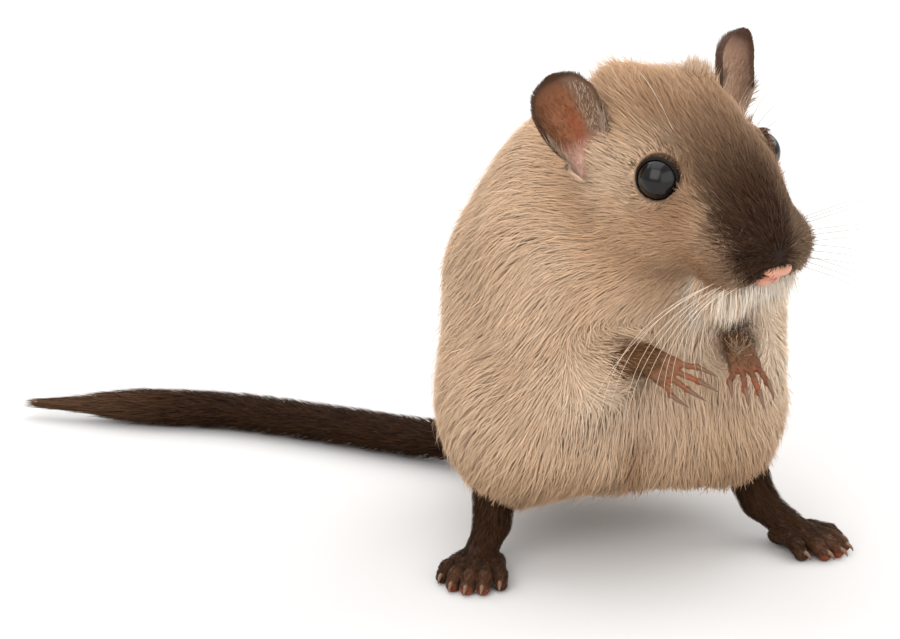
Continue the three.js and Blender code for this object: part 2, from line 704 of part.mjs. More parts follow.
function addTail() {
  const core = rod(TAIL_ROUTE, tailRadius, { rows: 28, sides: 12 });
  const haired = tailLocks().reduce((made, lock) => made.add(lock), core);
  const whole = aboveFloor(haired).subtract(trunkGrown);
  const edges = TAIL_PARTS.map((share) =>
    planeAt(tailCurve.getTangentAt(share).toArray(), tailCurve.getPointAt(share).toArray()),
  );
  add("tail_root", "dark_coat", shortOf(whole, edges[0]));
  add("tail_middle", "dark_coat", shortOf(past(whole, moved(edges[0], GAP)), edges[1]));
  add("tail_tip", "dark_coat", past(whole, moved(edges[1], GAP)));
}

// ---- The whole animal ------------------------------------------------------------------------------------

addTrunk();
addNeck();
addHead();
addEars();
addTail();
for (const [name] of SIDES) addArm(name);
for (const [name] of SIDES) addLeg(name);

const animal = new THREE.Group();
for (const { name, material, solid: made } of nodes) {
  const { vertProperties, triVerts } = made.getMesh();
  const geometry = new THREE.BufferGeometry()
    .setAttribute("position", new THREE.BufferAttribute(vertProperties.slice(), 3))
    .setIndex(new THREE.BufferAttribute(triVerts.slice(), 1));
  const piece = new THREE.Mesh(geometry, material);
  piece.name = name;
  animal.add(piece);
}

// The origin is on the floor, under the middle of the whole animal, tail and all.
const bounds = new THREE.Box3().setFromObject(animal);
const middle = bounds.getCenter(new THREE.Vector3());
for (const piece of animal.children) piece.geometry.translate(-middle.x, -middle.y, -bounds.min.z);

export default animal;
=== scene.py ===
"""The looks of a standing Mongolian gerbil: skin, coat, eyes, ears, nose, paws, claws and whiskers.

Shapes are worked out in millimetres in the model's own row frame (+X the animal's left, -Y the way its
chest faces, +Z up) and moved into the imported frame, in metres, when a mesh is made.
"""
import math

import bpy
import numpy as np
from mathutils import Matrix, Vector, kdtree


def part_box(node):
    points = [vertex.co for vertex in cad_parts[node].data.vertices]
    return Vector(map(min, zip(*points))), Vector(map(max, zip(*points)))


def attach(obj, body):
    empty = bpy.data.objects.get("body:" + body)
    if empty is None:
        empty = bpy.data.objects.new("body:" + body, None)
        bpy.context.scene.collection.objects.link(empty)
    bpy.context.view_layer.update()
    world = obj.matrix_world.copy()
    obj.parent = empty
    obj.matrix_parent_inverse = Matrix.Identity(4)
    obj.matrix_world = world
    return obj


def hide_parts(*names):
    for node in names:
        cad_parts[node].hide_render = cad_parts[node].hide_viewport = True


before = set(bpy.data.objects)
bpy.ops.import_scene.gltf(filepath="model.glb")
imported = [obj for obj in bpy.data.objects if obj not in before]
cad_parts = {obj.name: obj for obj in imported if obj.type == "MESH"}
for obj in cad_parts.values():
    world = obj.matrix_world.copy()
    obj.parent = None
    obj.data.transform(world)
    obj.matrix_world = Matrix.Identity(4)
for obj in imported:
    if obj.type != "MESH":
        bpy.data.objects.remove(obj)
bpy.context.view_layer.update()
MM = 0.001
rng = np.random.default_rng(20)
SIDES = {"right": -1, "left": 1}

# ---- Sizes, in millimetres ----

HEAD_AT = np.array([8.8, -14.6, 59.4])
HEAD_TURN = (25, -2, 23)  # degrees about x, y and z: nose down, roll, turned to its left
EYE_RADIUS = 3.05
EYE_AT = np.array([9.8, -1.5, 0.8])
EYE_LOOKS = np.array([0.86, -0.44, 0.26])
EYE_SINKS = {"right": 0, "left": 0.75}  # how much deeper each eye lies than its place
LID_OPENING = 2.75
ORBIT_SINKS = 0.7  # how far the eye stands out of its socket
EARS = {
    "right": {"root": (12, 6.8, -5.4), "tip": (18, 16.4, 7.2), "faces": (0.3, -0.95, 0.1)},
    "left": {"root": (11.6, 8, -5.4), "tip": (18.2, 16.6, 7.8), "faces": (0.12, -0.99, 0.1)},
}
EAR_HALF_WIDTH = 5.8
EAR_WIDEST = 0.62
EAR_FOOT, EAR_RISE = 0.1, 0.895  # shares of its height where its sheets start and that they cover
EAR_WRAP, EAR_OPENS = 112, 66  # degrees to each side that its foot wraps round, and fewer at its tip
EAR_HALF_THICK = 0.27
EAR_CURL = 0.45  # how far its edge curls in
EAR_FOLD = 0.55  # how far the crease inside it stands out

HAUNCH_AT = (14.4, -1.5, 20)
HAUNCH_RADII = (12, 17, 13.6)
UPPER_ARMS = {
    "right": ((-13, -4, 44), (-10, -14.5, 30)),
    "left": ((16.5, -6, 44), (15.8, -15, 30.5)),
}
UPPER_ARM_RADIUS = 7.2
ELBOW_RADIUS = 6.6
ARMS = {
    "right": {
        "elbow": (-12, -13, 30),
        "wrist": (-2.2, -24, 34.2),
        "points": (0.735, -0.53, -0.42),
        "across": (0.6, 0.1, 0.778),
    },
    "left": {
        "elbow": (14.5, -12, 32),
        "wrist": (10.8, -25, 35.6),
        "points": (0.02, -0.72, -0.69),
        "across": (0.966, -0.259, 0),
    },
}
FINGERS = ((-1.5, -2.6, 5.8), (-0.5, -0.8, 7.4), (0.5, 1, 8.2), (1.5, 2.6, 7))  # knuckle, tip, reach
PALM_LENGTH = 3.6
HAND_CLAWS = {"right": 2.6, "left": 1.95}
LEGS = {
    "right": {
        "knee": (-18.5, -4.5, 12),
        "ankle": (-20.3, -8.6, 5.4),
        "ball": (-23.2, -12.8, 2.6),
        "points": (-0.478, -0.878),
    },
    "left": {
        "knee": (18.5, -6, 12),
        "ankle": (20.4, -10.2, 5.4),
        "ball": (23.7, -14, 2.6),
        "points": (0.593, -0.806),
    },
}
TOES = (  # knuckle, tip, start, reach
    (-2.5, -4.4, 0.8, 6),
    (-1.35, -2.3, 2, 8.6),
    (0, -0.05, 2.2, 9.4),
    (1.35, 2.2, 2, 8.9),
    (2.5, 4.3, 1.2, 6.8),
)
FOOT_CLAW = 0.9
TAIL_ROUTE = (
    (0, 18, 14),
    (-5, 24.5, 8.6),
    (-11.5, 28, 4.8),
    (-19.6, 34.2, 3.6),
    (-31.4, 44.5, 3.3),
    (-44.9, 55, 3.1),
    (-60, 62.2, 3),
    (-77, 70.2, 2.4),
)
TAIL_RADIUS = 3.7
TAIL_TAPER = 0.16
TAIL_SKIN_END, TAIL_ROOTS_END = 0.96, 0.955  # shares of its route
TAIL_COAT = 1.0  # how deep its skin lies under the solids
TAIL_THINNEST = 0.25
BRUSH_SHARE = 0.3
LIP_LINE = ((0.3, -18, -9.2), (2.8, -16, -10.2), (5.4, -11.5, -9.6))
LIP_RADII = (0.5, 0.45, 0.2)

HEAD_STOPS = (-19, -14, -6, 4, 14)  # along the head, from the nose to the nape
# For each of those stops, then for the trunk.
COAT_DEPTH = ((0.4, 0.5, 0.8, 1.3, 1.8), 1.85)
COAT_LENGTH = ((1.4, 2.0, 2.7, 3.7, 5.4), 6.2)
TUFT_DENSITY = ((26, 24, 18, 13, 10), 8.8)  # to a square millimetre
TUFT_WIDTH = ((0.1, 0.1, 0.11, 0.12, 0.13), 0.14)
TUFT_SHADES = ((0.07, 0.07, 0.07, 0.07, 0.06), 0.035)  # how far single tufts differ in lightness
STRAY_SHARE = 0.07  # of the tufts, that stand out of the coat
LOCK_SHARE, LOCK_PULL = 0.1, 0.16  # of the tufts, that lead locks, and how far locks are drawn together
LOOSE_LOCK_SHARE = 0.15
LOCK_REACH = 3
HAND_COAT, FOOT_COAT = 0.22, 0.2  # how deep their skin lies under the solids
SKIN_STEPS = {"trunk": 0.62, "head": 0.4, "hand": 0.2, "foot": 0.24}  # grid cells of the skin's parts
NOSE_STEP = 0.13


# ---- Colours ----


def linear(red, green, blue):
    """A colour given as 0 to 255 on screen, as linear light."""
    share = np.array([red, green, blue]) / 255
    return np.where(share <= 0.04045, share / 12.92, ((share + 0.055) / 1.055) ** 2.4)


SAND = linear(208, 177, 148)
FAWN = linear(180, 143, 108)
BUFF = linear(198, 161, 128)
UMBER = linear(140, 104, 76)
CREAM = linear(232, 212, 188)
WHITE = linear(252, 240, 224)
MASK = linear(36, 19, 9)
SABLE = linear(53, 33, 19)
PINK = linear(203, 142, 118)
MAUVE = linear(124, 86, 62)
ROSE = linear(172, 78, 48)
TOE_BROWN = linear(86, 56, 38)
WRIST_BROWN = linear(98, 66, 40)
TAIL_TIP = linear(86, 62, 45)
EAR_RIM = linear(76, 53, 40)
EAR_TAN = linear(134, 86, 58)
EAR_GREY = linear(126, 100, 82)
EAR_PINK = linear(214, 172, 156)
EAR_RED = linear(140, 74, 48)
WHISKER_GREY = linear(128, 118, 108)
EAR_HAIR = linear(186, 165, 143)
LID_BLACK = linear(24, 19, 16)
EYE_BLACK = linear(12, 9, 8)
CLAW_HORN = linear(112, 80, 60)
EAR_BACK = EAR_RIM * 1.3
EAR_SHADE = EAR_RIM * 1.6
EAR_INSIDE = {"right": EAR_TAN, "left": EAR_GREY * 1.9}
EAR_CREASE = {"right": 0.7, "left": 0.15}  # how red the crease inside each ear is
HAND_BACK = {"right": MAUVE, "left": MAUVE * 0.7 + SABLE * 0.3}
TAIL_SKIN = SABLE * 0.7
TAIL_BROWN = SABLE * 0.82


# ---- Fields: distance to a rounded form, negative inside it ----


def egg(centre, radii):
    centre, radii = np.array(centre, float), np.array(radii, float)

    def field(p):
        q = (p - centre) / radii
        reach = np.maximum(np.sqrt((q * q).sum(-1)), 1e-6)
        slope = np.maximum(np.sqrt(((q / radii) ** 2).sum(-1)), 1e-6)
        return reach * (reach - 1) / slope

    return field


def limb(start, start_radius, end, end_radius):
    start, end = np.array(start, float), np.array(end, float)
    run = end - start

    def field(p):
        share = np.clip((p - start) @ run / (run @ run), 0, 1)
        away = p - start - share[..., None] * run
        return np.sqrt((away * away).sum(-1)) - start_radius - (end_radius - start_radius) * share

    return field


def melt(softness, *fields):
    """The union of fields, with the crease between them filled to a fillet."""

    def field(p):
        total = fields[0](p)
        for other in fields[1:]:
            value = other(p)
            blend = np.maximum(softness - np.abs(total - value), 0) / softness
            total = np.minimum(total, value) - blend * blend * softness / 4
        return total

    return field


def chain(points, radii, softness=0.5):
    """A bent limb through points, with a radius at each."""
    pairs = zip(points, radii, points[1:], radii[1:])
    return melt(softness, *[limb(*pair) for pair in pairs])


def mirrored(p, side):
    return np.array([side * p[0], p[1], p[2]])


def both(make):
    return [make(side) for side in SIDES.values()]


def smooth(value, low, high):
    """0 below low, 1 above high and an even change between."""
    share = np.clip((value - low) / (high - low), 0, 1)
    return share * share * (3 - 2 * share)


def unit(vectors):
    vectors = np.asarray(vectors, float)
    return vectors / np.maximum(np.linalg.norm(vectors, axis=-1, keepdims=True), 1e-9)


def turn_about(axis, degrees):
    angle = math.radians(degrees)
    c, s = math.cos(angle), math.sin(angle)
    grids = {
        "x": [[1, 0, 0], [0, c, -s], [0, s, c]],
        "y": [[c, 0, s], [0, 1, 0], [-s, 0, c]],
        "z": [[c, -s, 0], [s, c, 0], [0, 0, 1]],
    }
    return np.array(grids[axis])


HEAD = turn_about("z", HEAD_TURN[2]) @ turn_about("x", HEAD_TURN[0]) @ turn_about("y", HEAD_TURN[1])


def of_head(p):
    """From the head's own frame out to the row frame."""
    return np.asarray(p, float) @ HEAD.T + HEAD_AT


def in_head(p):
    return (p - HEAD_AT) @ HEAD


skull = melt(
    4,
    egg((0, 7.5, -1.4), (12, 11.8, 9.6)),
    egg((-4.8, 12, 0.8), (5.8, 8, 7)),
    egg((0, -1.5, -1.4), (9, 11, 8.8)),
    egg((0, -8, -3), (7.6, 10.5, 7.4)),
    *both(lambda side: egg((side * 6.4, 1, -6.6), (6.8, 11.4, 8))),
    limb((0, 3, -10), 6.4, (0, -12.2, -10.2), 3.8),
)
face = melt(
    2,
    skull,
    *both(lambda side: egg((side * 4.5, -13.3, -4.9), (5.1, 5.2, 5.1))),
    egg((-11.2, 8.2, -3.8), (3.2, 3.6, 4.6)),
    egg((10.8, 9, -3.6), (3, 3.6, 4.4)),
)
ORBIT_AT = EYE_AT - ORBIT_SINKS * EYE_LOOKS
orbits = both(lambda side: limb((side * 6, 0, 0), EYE_RADIUS, mirrored(ORBIT_AT, side), EYE_RADIUS))
head_only = melt(2.4, face, egg((0, -17.8, -4.5), (3, 1.7, 2)), *orbits)

trunk_only = melt(
    6,
    egg((0, 8, 24), (22, 20.5, 17.5)),
    egg((0.5, -2, 25), (20, 17.5, 18)),
    *both(lambda side: egg(mirrored(HAUNCH_AT, side), HAUNCH_RADII)),
    egg((-0.7, 8, 37), (22.3, 18.8, 19)),
    egg((3, -2, 38), (19.5, 16.5, 18)),
    egg((1.5, 5, 50), (18, 17, 14)),
    *[limb(a, UPPER_ARM_RADIUS, b, ELBOW_RADIUS) for a, b in UPPER_ARMS.values()],
)
neck_only = limb((1.5, 7, 50), 14, (4.8, -0.5, 57.5), 11)
body = melt(5, trunk_only, neck_only, lambda p: head_only(in_head(p)))
forearms = [limb(arm["elbow"], 4.6, arm["wrist"], 2.5) for arm in ARMS.values()]
shins = [limb(leg["knee"], 3, leg["ankle"], 3) for leg in LEGS.values()]
dressed = melt(3, body, *forearms)


def headness(p):
    """1 on the head, 0 on the trunk."""
    return 1 - smooth(head_only(in_head(p)), 0.5, 7)


def by_region(p, along_head, trunk):
    """A number that runs along the head, from nose to nape, and changes to the trunk's own."""
    share = headness(p)
    return share * np.interp(in_head(p)[..., 1], HEAD_STOPS, along_head) + (1 - share) * trunk


def folded(h):
    """Places in the head's frame, each brought over to its left side."""
    return np.stack([np.abs(h[..., 0]), h[..., 1], h[..., 2]], -1)


def eye_away(p):
    """Distance from the nearer eye's centre."""
    return np.linalg.norm(folded(in_head(p)) - EYE_AT, axis=-1)


def limb_away(p):
    """Distance from the nearest forearm or lower leg."""
    return np.minimum.reduce([line(p) for line in forearms + shins])


def arm_shares(p):
    """For each forearm, how near a place is to it (0 to 1) and how far along it, from elbow to wrist."""
    shares = []
    for arm, forearm in zip(ARMS.values(), forearms):
        elbow, wrist = np.array(arm["elbow"]), np.array(arm["wrist"])
        along = (p - elbow) @ (wrist - elbow) / ((wrist - elbow) @ (wrist - elbow))
        shares.append((1 - smooth(forearm(p), 0.5, 3.5), np.clip(along, 0, 1)))
    return shares


def coat_depth(p):
    depth = by_region(p, *COAT_DEPTH)
    depth = 0.2 + (depth - 0.2) * smooth(eye_away(p), EYE_RADIUS + 0.2, EYE_RADIUS + 3)
    depth = 0.5 + (depth - 0.5) * (0.35 + 0.65 * smooth(limb_away(p), 0, 4))
    return depth + 0.9 * belly_crease(p)


def belly_crease(p):
    """1 along the furrow down the middle of the belly, 0 away from it."""
    x, y, z = p[..., 0], p[..., 1], p[..., 2]
    height = smooth(z, 8, 13) * (1 - smooth(z, 20, 27))
    return np.exp(-(((x + 0.9) / 1.3) ** 2)) * height * (1 - smooth(y, -10, -6))


NECK_NORMAL = unit([-0.2, 0.55, -0.81])
NECK_POINT = np.array([9, -21, 42.3])


def past_neck(p):
    return (p - NECK_POINT) @ NECK_NORMAL


def skin_field(p):
    return dressed(p) + coat_depth(p)


def trunk_skin(p):
    return np.maximum(skin_field(p), -past_neck(p))


def head_skin(p):
    value = np.maximum(skin_field(p), past_neck(p))
    h = in_head(p)
    for side in SIDES.values():
        eye = mirrored(EYE_AT, side)
        value = np.maximum(value, EYE_RADIUS + 0.03 - np.linalg.norm(h - eye, axis=-1))
        out = unit(mirrored(EYE_LOOKS, side))
        ahead = (h - eye) @ out
        aside = np.linalg.norm(h - eye - ahead[..., None] * out, axis=-1)
        value = np.maximum(value, np.minimum(LID_OPENING + 0.1 - aside, ahead))
        lip = chain([onto(head_only, mirrored(q, side)) for q in LIP_LINE], LIP_RADII)
        value = np.maximum(value, -lip(h))
    return value


def gradient(field, p, step=0.05):
    offsets = np.eye(3) * step
    return np.stack([field(p + o) - field(p - o) for o in offsets], -1) / (2 * step)


def onto(field, p, rounds=6, level=0.0):
    """The nearest place to p where the field is at a level."""
    p = np.array(p, float)
    for _ in range(rounds):
        slope = gradient(field, p)
        value = field(p) - level
        p = p - (value / np.maximum((slope * slope).sum(-1), 0.05))[..., None] * slope
    return p


# ---- Hands, feet and tail ----


def hand_frame(arm):
    points = unit(arm["points"])
    across = np.array(arm["across"], float)
    across = unit(across - across @ points * points)
    back = np.cross(points, across)
    return lambda along, aside, lift: np.array(arm["wrist"]) + along * points + aside * across + lift * back


def hand_field(arm):
    at = hand_frame(arm)
    forearm = chain([np.array(arm["elbow"]), at(-0.5, 0, 0)], (4, 1.7))
    palm = melt(
        0.6,
        *[chain([at(-0.6, a * 0.5, 0), at(PALM_LENGTH, a, 0.1)], (1.35, 0.95)) for a, _, _ in FINGERS],
        limb(at(0.6, 0, -0.5), 1.3, at(2.4, 0, -0.9), 1),
    )
    fingers = []
    for knuckle, tip, length in FINGERS:
        middle = at(PALM_LENGTH + (length - PALM_LENGTH) * 0.5, (knuckle + tip) / 2, 0.45)
        bones = [at(PALM_LENGTH - 0.6, knuckle, 0.1), middle, at(length - 0.5, tip, -0.25)]
        fingers.append(chain(bones, (0.72, 0.6, 0.62), 0.3))
        fingers.append(egg(at(length - 0.6, tip, -0.5), (0.62, 0.62, 0.62)))
    return melt(0.9, forearm, melt(0.45, palm, *fingers))


def foot_frame(leg):
    fx, fy = leg["points"]
    x, y, _ = leg["ball"]
    return lambda along, aside, z: np.array([x + fx * along - fy * aside, y + fy * along + fx * aside, z])


def foot_field(leg):
    at = foot_frame(leg)
    bones = [np.array(leg[key]) for key in ("knee", "ankle", "ball")] + [at(3, 0, 2.1)]
    shank = chain(bones, (3.4, 2.5, 2.3, 1.9), 1)
    toes = []
    for knuckle, tip, start, length in TOES:
        bones = [
            at(start - 1.5, knuckle, 1.9),
            at(start + 1.2, knuckle * 1.2, 2.1),
            at((start + length) * 0.58, (knuckle + tip) / 2 + tip * 0.15, 1.9),
            at(length - 0.9, tip, 1.05),
        ]
        toes.append(chain(bones, (1.3, 1.25, 1.15, 1.1), 0.5))
    field = melt(0.55, shank, *toes)
    return lambda p: np.maximum(field(p), 0.05 - p[..., 2])


def catmull(points, share):
    """Places along a smooth curve through points, evenly by length, and its directions there."""
    points = np.array(points, float)
    ends = np.vstack([2 * points[0] - points[1], points, 2 * points[-1] - points[-2]])
    dense = []
    for i in range(len(points) - 1):
        a, b, c, d = ends[i : i + 4]
        t = np.linspace(0, 1, 40, endpoint=False)[:, None]
        dense.append(
            0.5 * (2 * b + (c - a) * t + (2 * a - 5 * b + 4 * c - d) * t**2 + (3 * b - a - 3 * c + d) * t**3)
        )
    dense = np.vstack(dense + [points[-1:]])
    run = np.concatenate([[0], np.cumsum(np.linalg.norm(np.diff(dense, axis=0), axis=1))])
    at = np.asarray(share) * run[-1]
    place = np.stack([np.interp(at, run, dense[:, i]) for i in range(3)], -1)
    ahead = np.stack([np.interp(at + 0.3, run, dense[:, i]) for i in range(3)], -1)
    behind = np.stack([np.interp(at - 0.3, run, dense[:, i]) for i in range(3)], -1)
    return place, unit(ahead - behind)


def tail_radius(share):
    brush = np.maximum(0, (share - 1 + BRUSH_SHARE) / BRUSH_SHARE)
    return TAIL_RADIUS * (1 - TAIL_TAPER * share) * np.sqrt(1 - brush**2 * 0.97)


def tail_skin_radius(share):
    return np.maximum(tail_radius(share) - TAIL_COAT, TAIL_THINNEST)


# ---- Meshes ----


def surface(field, low, high, step):
    """The points and quads of a field's zero surface, one point in each grid cell that it crosses."""
    axes = [np.arange(a, b + step, step) for a, b in zip(low, high)]
    shape = np.array([len(a) for a in axes])
    grid = np.stack(np.meshgrid(*axes, indexing="ij"), -1).reshape(-1, 3)
    chunks = np.array_split(grid, 1 + len(grid) // 300000)
    value = np.concatenate([field(chunk) for chunk in chunks]).reshape(shape)
    inside = value < 0
    total = np.zeros((int(shape.prod()), 3))
    count = np.zeros(int(shape.prod()))
    quads = []
    strides = np.array([shape[1] * shape[2], shape[2], 1])
    for axis in range(3):
        lower = [slice(None)] * 3
        upper = [slice(None)] * 3
        lower[axis] = slice(None, -1)
        upper[axis] = slice(1, None)
        lower, upper = tuple(lower), tuple(upper)
        where = np.argwhere(inside[lower] != inside[upper])
        a = value[lower][tuple(where.T)]
        b = value[upper][tuple(where.T)]
        place = where.astype(float)
        place[:, axis] += a / (a - b)
        ids = where @ strides
        one, two = strides[(axis + 1) % 3], strides[(axis + 2) % 3]
        cells = np.stack([ids - one - two, ids - two, ids, ids - one], 1)
        for i in range(4):
            np.add.at(total, cells[:, i], place)
            np.add.at(count, cells[:, i], 1)
        quads.append(np.where((a < 0)[:, None], cells, cells[:, ::-1]))
    quads = np.vstack(quads)
    used, quads = np.unique(quads, return_inverse=True)
    points = np.array(low, float) + total[used] / count[used][:, None] * step
    return points, quads.reshape(-1, 4)


def sheet_quads(rows, columns, closed=False):
    """Quads of a grid of points, row by row; closed joins each row's end to its start."""
    r = np.arange(rows - 1)[:, None]
    c = np.arange(columns if closed else columns - 1)[None, :]
    n = (c + 1) % columns
    quads = np.stack([r * columns + c, r * columns + n, (r + 1) * columns + n, (r + 1) * columns + c], -1)
    return quads.reshape(-1, 4)


def full_turn(sides):
    return np.linspace(0, 2 * math.pi, sides, endpoint=False)


def ring_of(one, two, turn):
    """Ways out at angles round an axis that is square to one and two."""
    return np.cos(turn)[:, None] * one + np.sin(turn)[:, None] * two


def to_frame(points):
    return (np.asarray(points) + SHIFT) * MM


def mesh_object(name, points, faces, material, slot, tint=None, normals=None):
    """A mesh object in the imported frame, from points in millimetres and faces of one size."""
    faces = np.asarray(faces, np.int32)
    mesh = bpy.data.meshes.new(name)
    mesh.vertices.add(len(points))
    mesh.vertices.foreach_set("co", to_frame(points).astype(np.float32).ravel())
    mesh.loops.add(faces.size)
    mesh.loops.foreach_set("vertex_index", faces.ravel())
    mesh.polygons.add(len(faces))
    mesh.polygons.foreach_set("loop_start", np.arange(0, faces.size, faces.shape[1], dtype=np.int32))
    mesh.update(calc_edges=True)
    mesh.polygons.foreach_set("use_smooth", np.full(len(faces), True))
    if normals is not None:
        mesh.normals_split_custom_set_from_vertices(normals)
    if tint is not None:
        colours = np.ones((len(points), 4), np.float32)
        colours[:, :3] = np.clip(tint, 0, 1)
        mesh.attributes.new("tint", "FLOAT_COLOR", "POINT").data.foreach_set("color", colours.ravel())
    mesh.materials.append(material)
    piece = bpy.data.objects.new(name, mesh)
    bpy.context.scene.collection.objects.link(piece)
    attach(piece, "root")
    return piece


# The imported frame's place of the row frame, from where the right eye is.
low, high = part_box("eye_right")
SHIFT = (np.array(low) + np.array(high)) / 2 / MM - of_head(mirrored(EYE_AT, -1))


# ---- Materials ----


def material_of(name, roughness, *, colour=None, grain=0.0, grain_size=0.0004, bump=0.0, **settings):
    """A Principled material. Its colour is the mesh's own tint, or one colour, with a fine grain over it."""
    material = bpy.data.materials.new(name)
    material.use_nodes = True
    nodes, links = material.node_tree.nodes, material.node_tree.links
    shader = nodes["Principled BSDF"]
    shader.inputs["Roughness"].default_value = roughness
    for key, value in settings.items():
        shader.inputs[key.replace("_", " ")].default_value = value
    place = nodes.new("ShaderNodeTexCoord")
    noise = nodes.new("ShaderNodeTexNoise")
    noise.inputs["Scale"].default_value = 1 / grain_size
    noise.inputs["Detail"].default_value = 3
    links.new(place.outputs["Object"], noise.inputs["Vector"])
    if colour is None:
        base = nodes.new("ShaderNodeAttribute")
        base.attribute_name = "tint"
        base_socket = base.outputs["Color"]
    else:
        base = nodes.new("ShaderNodeRGB")
        base.outputs[0].default_value = (*colour, 1)
        base_socket = base.outputs[0]
    span = nodes.new("ShaderNodeMapRange")
    span.inputs["To Min"].default_value = 1 - grain
    span.inputs["To Max"].default_value = 1 + grain
    mix = nodes.new("ShaderNodeMix")
    mix.data_type = "RGBA"
    mix.blend_type = "MULTIPLY"
    mix.inputs["Factor"].default_value = 1
    links.new(noise.outputs["Fac"], span.inputs["Value"])
    links.new(base_socket, mix.inputs["A"])
    links.new(span.outputs["Result"], mix.inputs["B"])
    links.new(mix.outputs["Result"], shader.inputs["Base Color"])
    if bump:
        relief = nodes.new("ShaderNodeBump")
        relief.inputs["Distance"].default_value = bump
        relief.inputs["Strength"].default_value = 1
        links.new(noise.outputs["Fac"], relief.inputs["Height"])
        links.new(relief.outputs["Normal"], shader.inputs["Normal"])
    return material


SHEEN = {"Sheen_Weight": 0.25, "Sheen_Roughness": 0.18, "Sheen_Tint": (1, 0.8, 0.62, 1)}
COAT = material_of("coat", 0.7, grain=0.08, grain_size=0.002, Specular_IOR_Level=0.07, **SHEEN)
SKIN = material_of("skin", 0.6, grain=0.18, grain_size=0.0005, bump=0.00015, Specular_IOR_Level=0.2)
WET = material_of("nose_skin", 0.36, grain=0.12, grain_size=0.0003, bump=0.00006, Specular_IOR_Level=0.5)
LID = material_of(
    "lid", 0.6, colour=LID_BLACK, grain=0.2, grain_size=0.0003, bump=0.00004, Specular_IOR_Level=0.1
)
EYE = material_of("eye", 0.19, colour=EYE_BLACK, grain=0.3, grain_size=0.001, Specular_IOR_Level=0.36)
CLAW = material_of("claw", 0.32, colour=CLAW_HORN, grain=0.25, grain_size=0.0006, Specular_IOR_Level=0.4)
WHISKER = material_of("whisker", 0.4, grain=0.05, grain_size=0.003, Specular_IOR_Level=0.4)


# ---- Markings ----


def ripple(p, size, seed, waves=7):
    """A soft random pattern from -1 to 1, the same for the same place."""
    draw = np.random.default_rng(seed)
    total = 0
    for _ in range(waves):
        way = unit(draw.normal(size=3)) * 2 * math.pi / (size * draw.uniform(0.7, 1.6))
        total = total + np.sin(p @ way + draw.uniform(0, 2 * math.pi))
    return total / waves**0.5 / 1.4


def mixed(a, b, share):
    share = np.clip(share, 0, 1)[..., None]
    return a * (1 - share) + b * share


def layered(base, like, *layers):
    """A base colour at each of some places, with layers of (colour, share) over it."""
    colour = np.broadcast_to(base, (len(like), 3))
    for tone, share in layers:
        colour = mixed(colour, tone, share)
    return colour


def spot(p, centre, radii):
    """1 at a centre, falling away softly over the given radii."""
    away = (p - np.array(centre)) / np.array(radii)
    return np.exp(-(away * away).sum(-1))


MASK_STOPS = (-20, -14, -10.5, -7, -2, 2.5, 6, 11)  # along the head, from the nose to the nape
MASK_STRENGTH = (1, 1, 0.96, 0.8, 0.54, 0.34, 0.18, 0)
MASK_HALF_WIDTH = (8.2, 8.1, 8.6, 8.3, 8.1, 8.4, 9, 10)
MASK_FLOOR = (-8.6, -6.2, 0, 1, 2, 3, 3, 3)
MASK_FADES = (2.4, 2.3)  # inwards and outwards from its half width

# Colour, share, place, radii and whether it ends with the head; in the head's frame, on both sides alike.
HEAD_SPOTS = (
    (UMBER, 0.2, (11, -3, -11), (8, 9, 6), True),  # jowl
    # The umber spot under each ear is painted shadow of the ear.
    (UMBER, 0.65, (14.4, 4.6, -8.6), (3, 3, 4), True),  # under the ear
    (CREAM, 0.4, (13.5, 5, -3), (4, 4, 4.5), False),  # in front of the ear
    (UMBER, 0.3, (11, -3.5, -5), (4, 4, 2.6), False),  # under the eye
    (UMBER, 0.9, (9.3, -7.4, -1), (3, 3.8, 4.6), False),  # in front of the eye
    (UMBER, 0.4, (7, 4.5, 7), (4, 4, 3), False),  # over the eye
)
PAD_SPOT = ((8.5, -13.5, -6.5), (5, 5, 5))
LIP_SPOT = ((7.5, -16.8, -5.5), (3, 3, 2.6))
# Colour, share, place and radii, in the row frame.
TRUNK_SPOTS = (
    (BUFF, 0.15, (-1, -18, 42), (9, 8, 5)),  # right side of the breast
    (CREAM, 0.75, (12, -19, 39), (9, 8, 7)),  # between the hands
    # The cream beside the left arm is painted light on the side the rim lamp lights.
    (CREAM, 0.6, (19.5, -20, 31), (4, 6, 8)),  # beside the left arm
    # The three umber spots below are painted shade in the hollows at the thighs and in the furrow of the
    # belly.
    (UMBER, 0.4, (-13, -18, 15.5), (5, 6, 4)),  # hollow at the right thigh
    (UMBER, 0.6, (-1.3, -19, 21), (2.6, 5, 6)),  # middle of the belly
    (UMBER, 0.45, (13.5, -18, 16.5), (5.5, 6, 5)),  # hollow at the left thigh
)
BELLY_LIGHT = ((-7, -21, 27), (9, 6, 4.5))
WRIST_STARTS = (0.55, 0.8)  # where along each forearm, right and left, it starts to darken


def mask_share(h):
    """How strong the dark mask is: from between the eyes down the nose and over the whisker pads."""
    side = folded(h)
    x, y, z = side[..., 0], side[..., 1], side[..., 2]
    strength = np.interp(y, MASK_STOPS, MASK_STRENGTH)
    half_width = np.interp(y, MASK_STOPS, MASK_HALF_WIDTH)
    floor = np.interp(y, MASK_STOPS, MASK_FLOOR) + 3.1 * smooth(x, 3, 6) * smooth(-y, 12, 16)
    across = 1 - smooth(x, half_width - MASK_FADES[0], half_width + MASK_FADES[1])
    mask = strength * across * smooth(z, floor - 2, floor + 2)
    # The mask is weaker on the head's left side: painted light on the side the rim lamp lights.
    return mask * (1 - 0.3 * smooth(h[..., 0], 1, 4)) + 0.3 * spot(side, *LIP_SPOT)


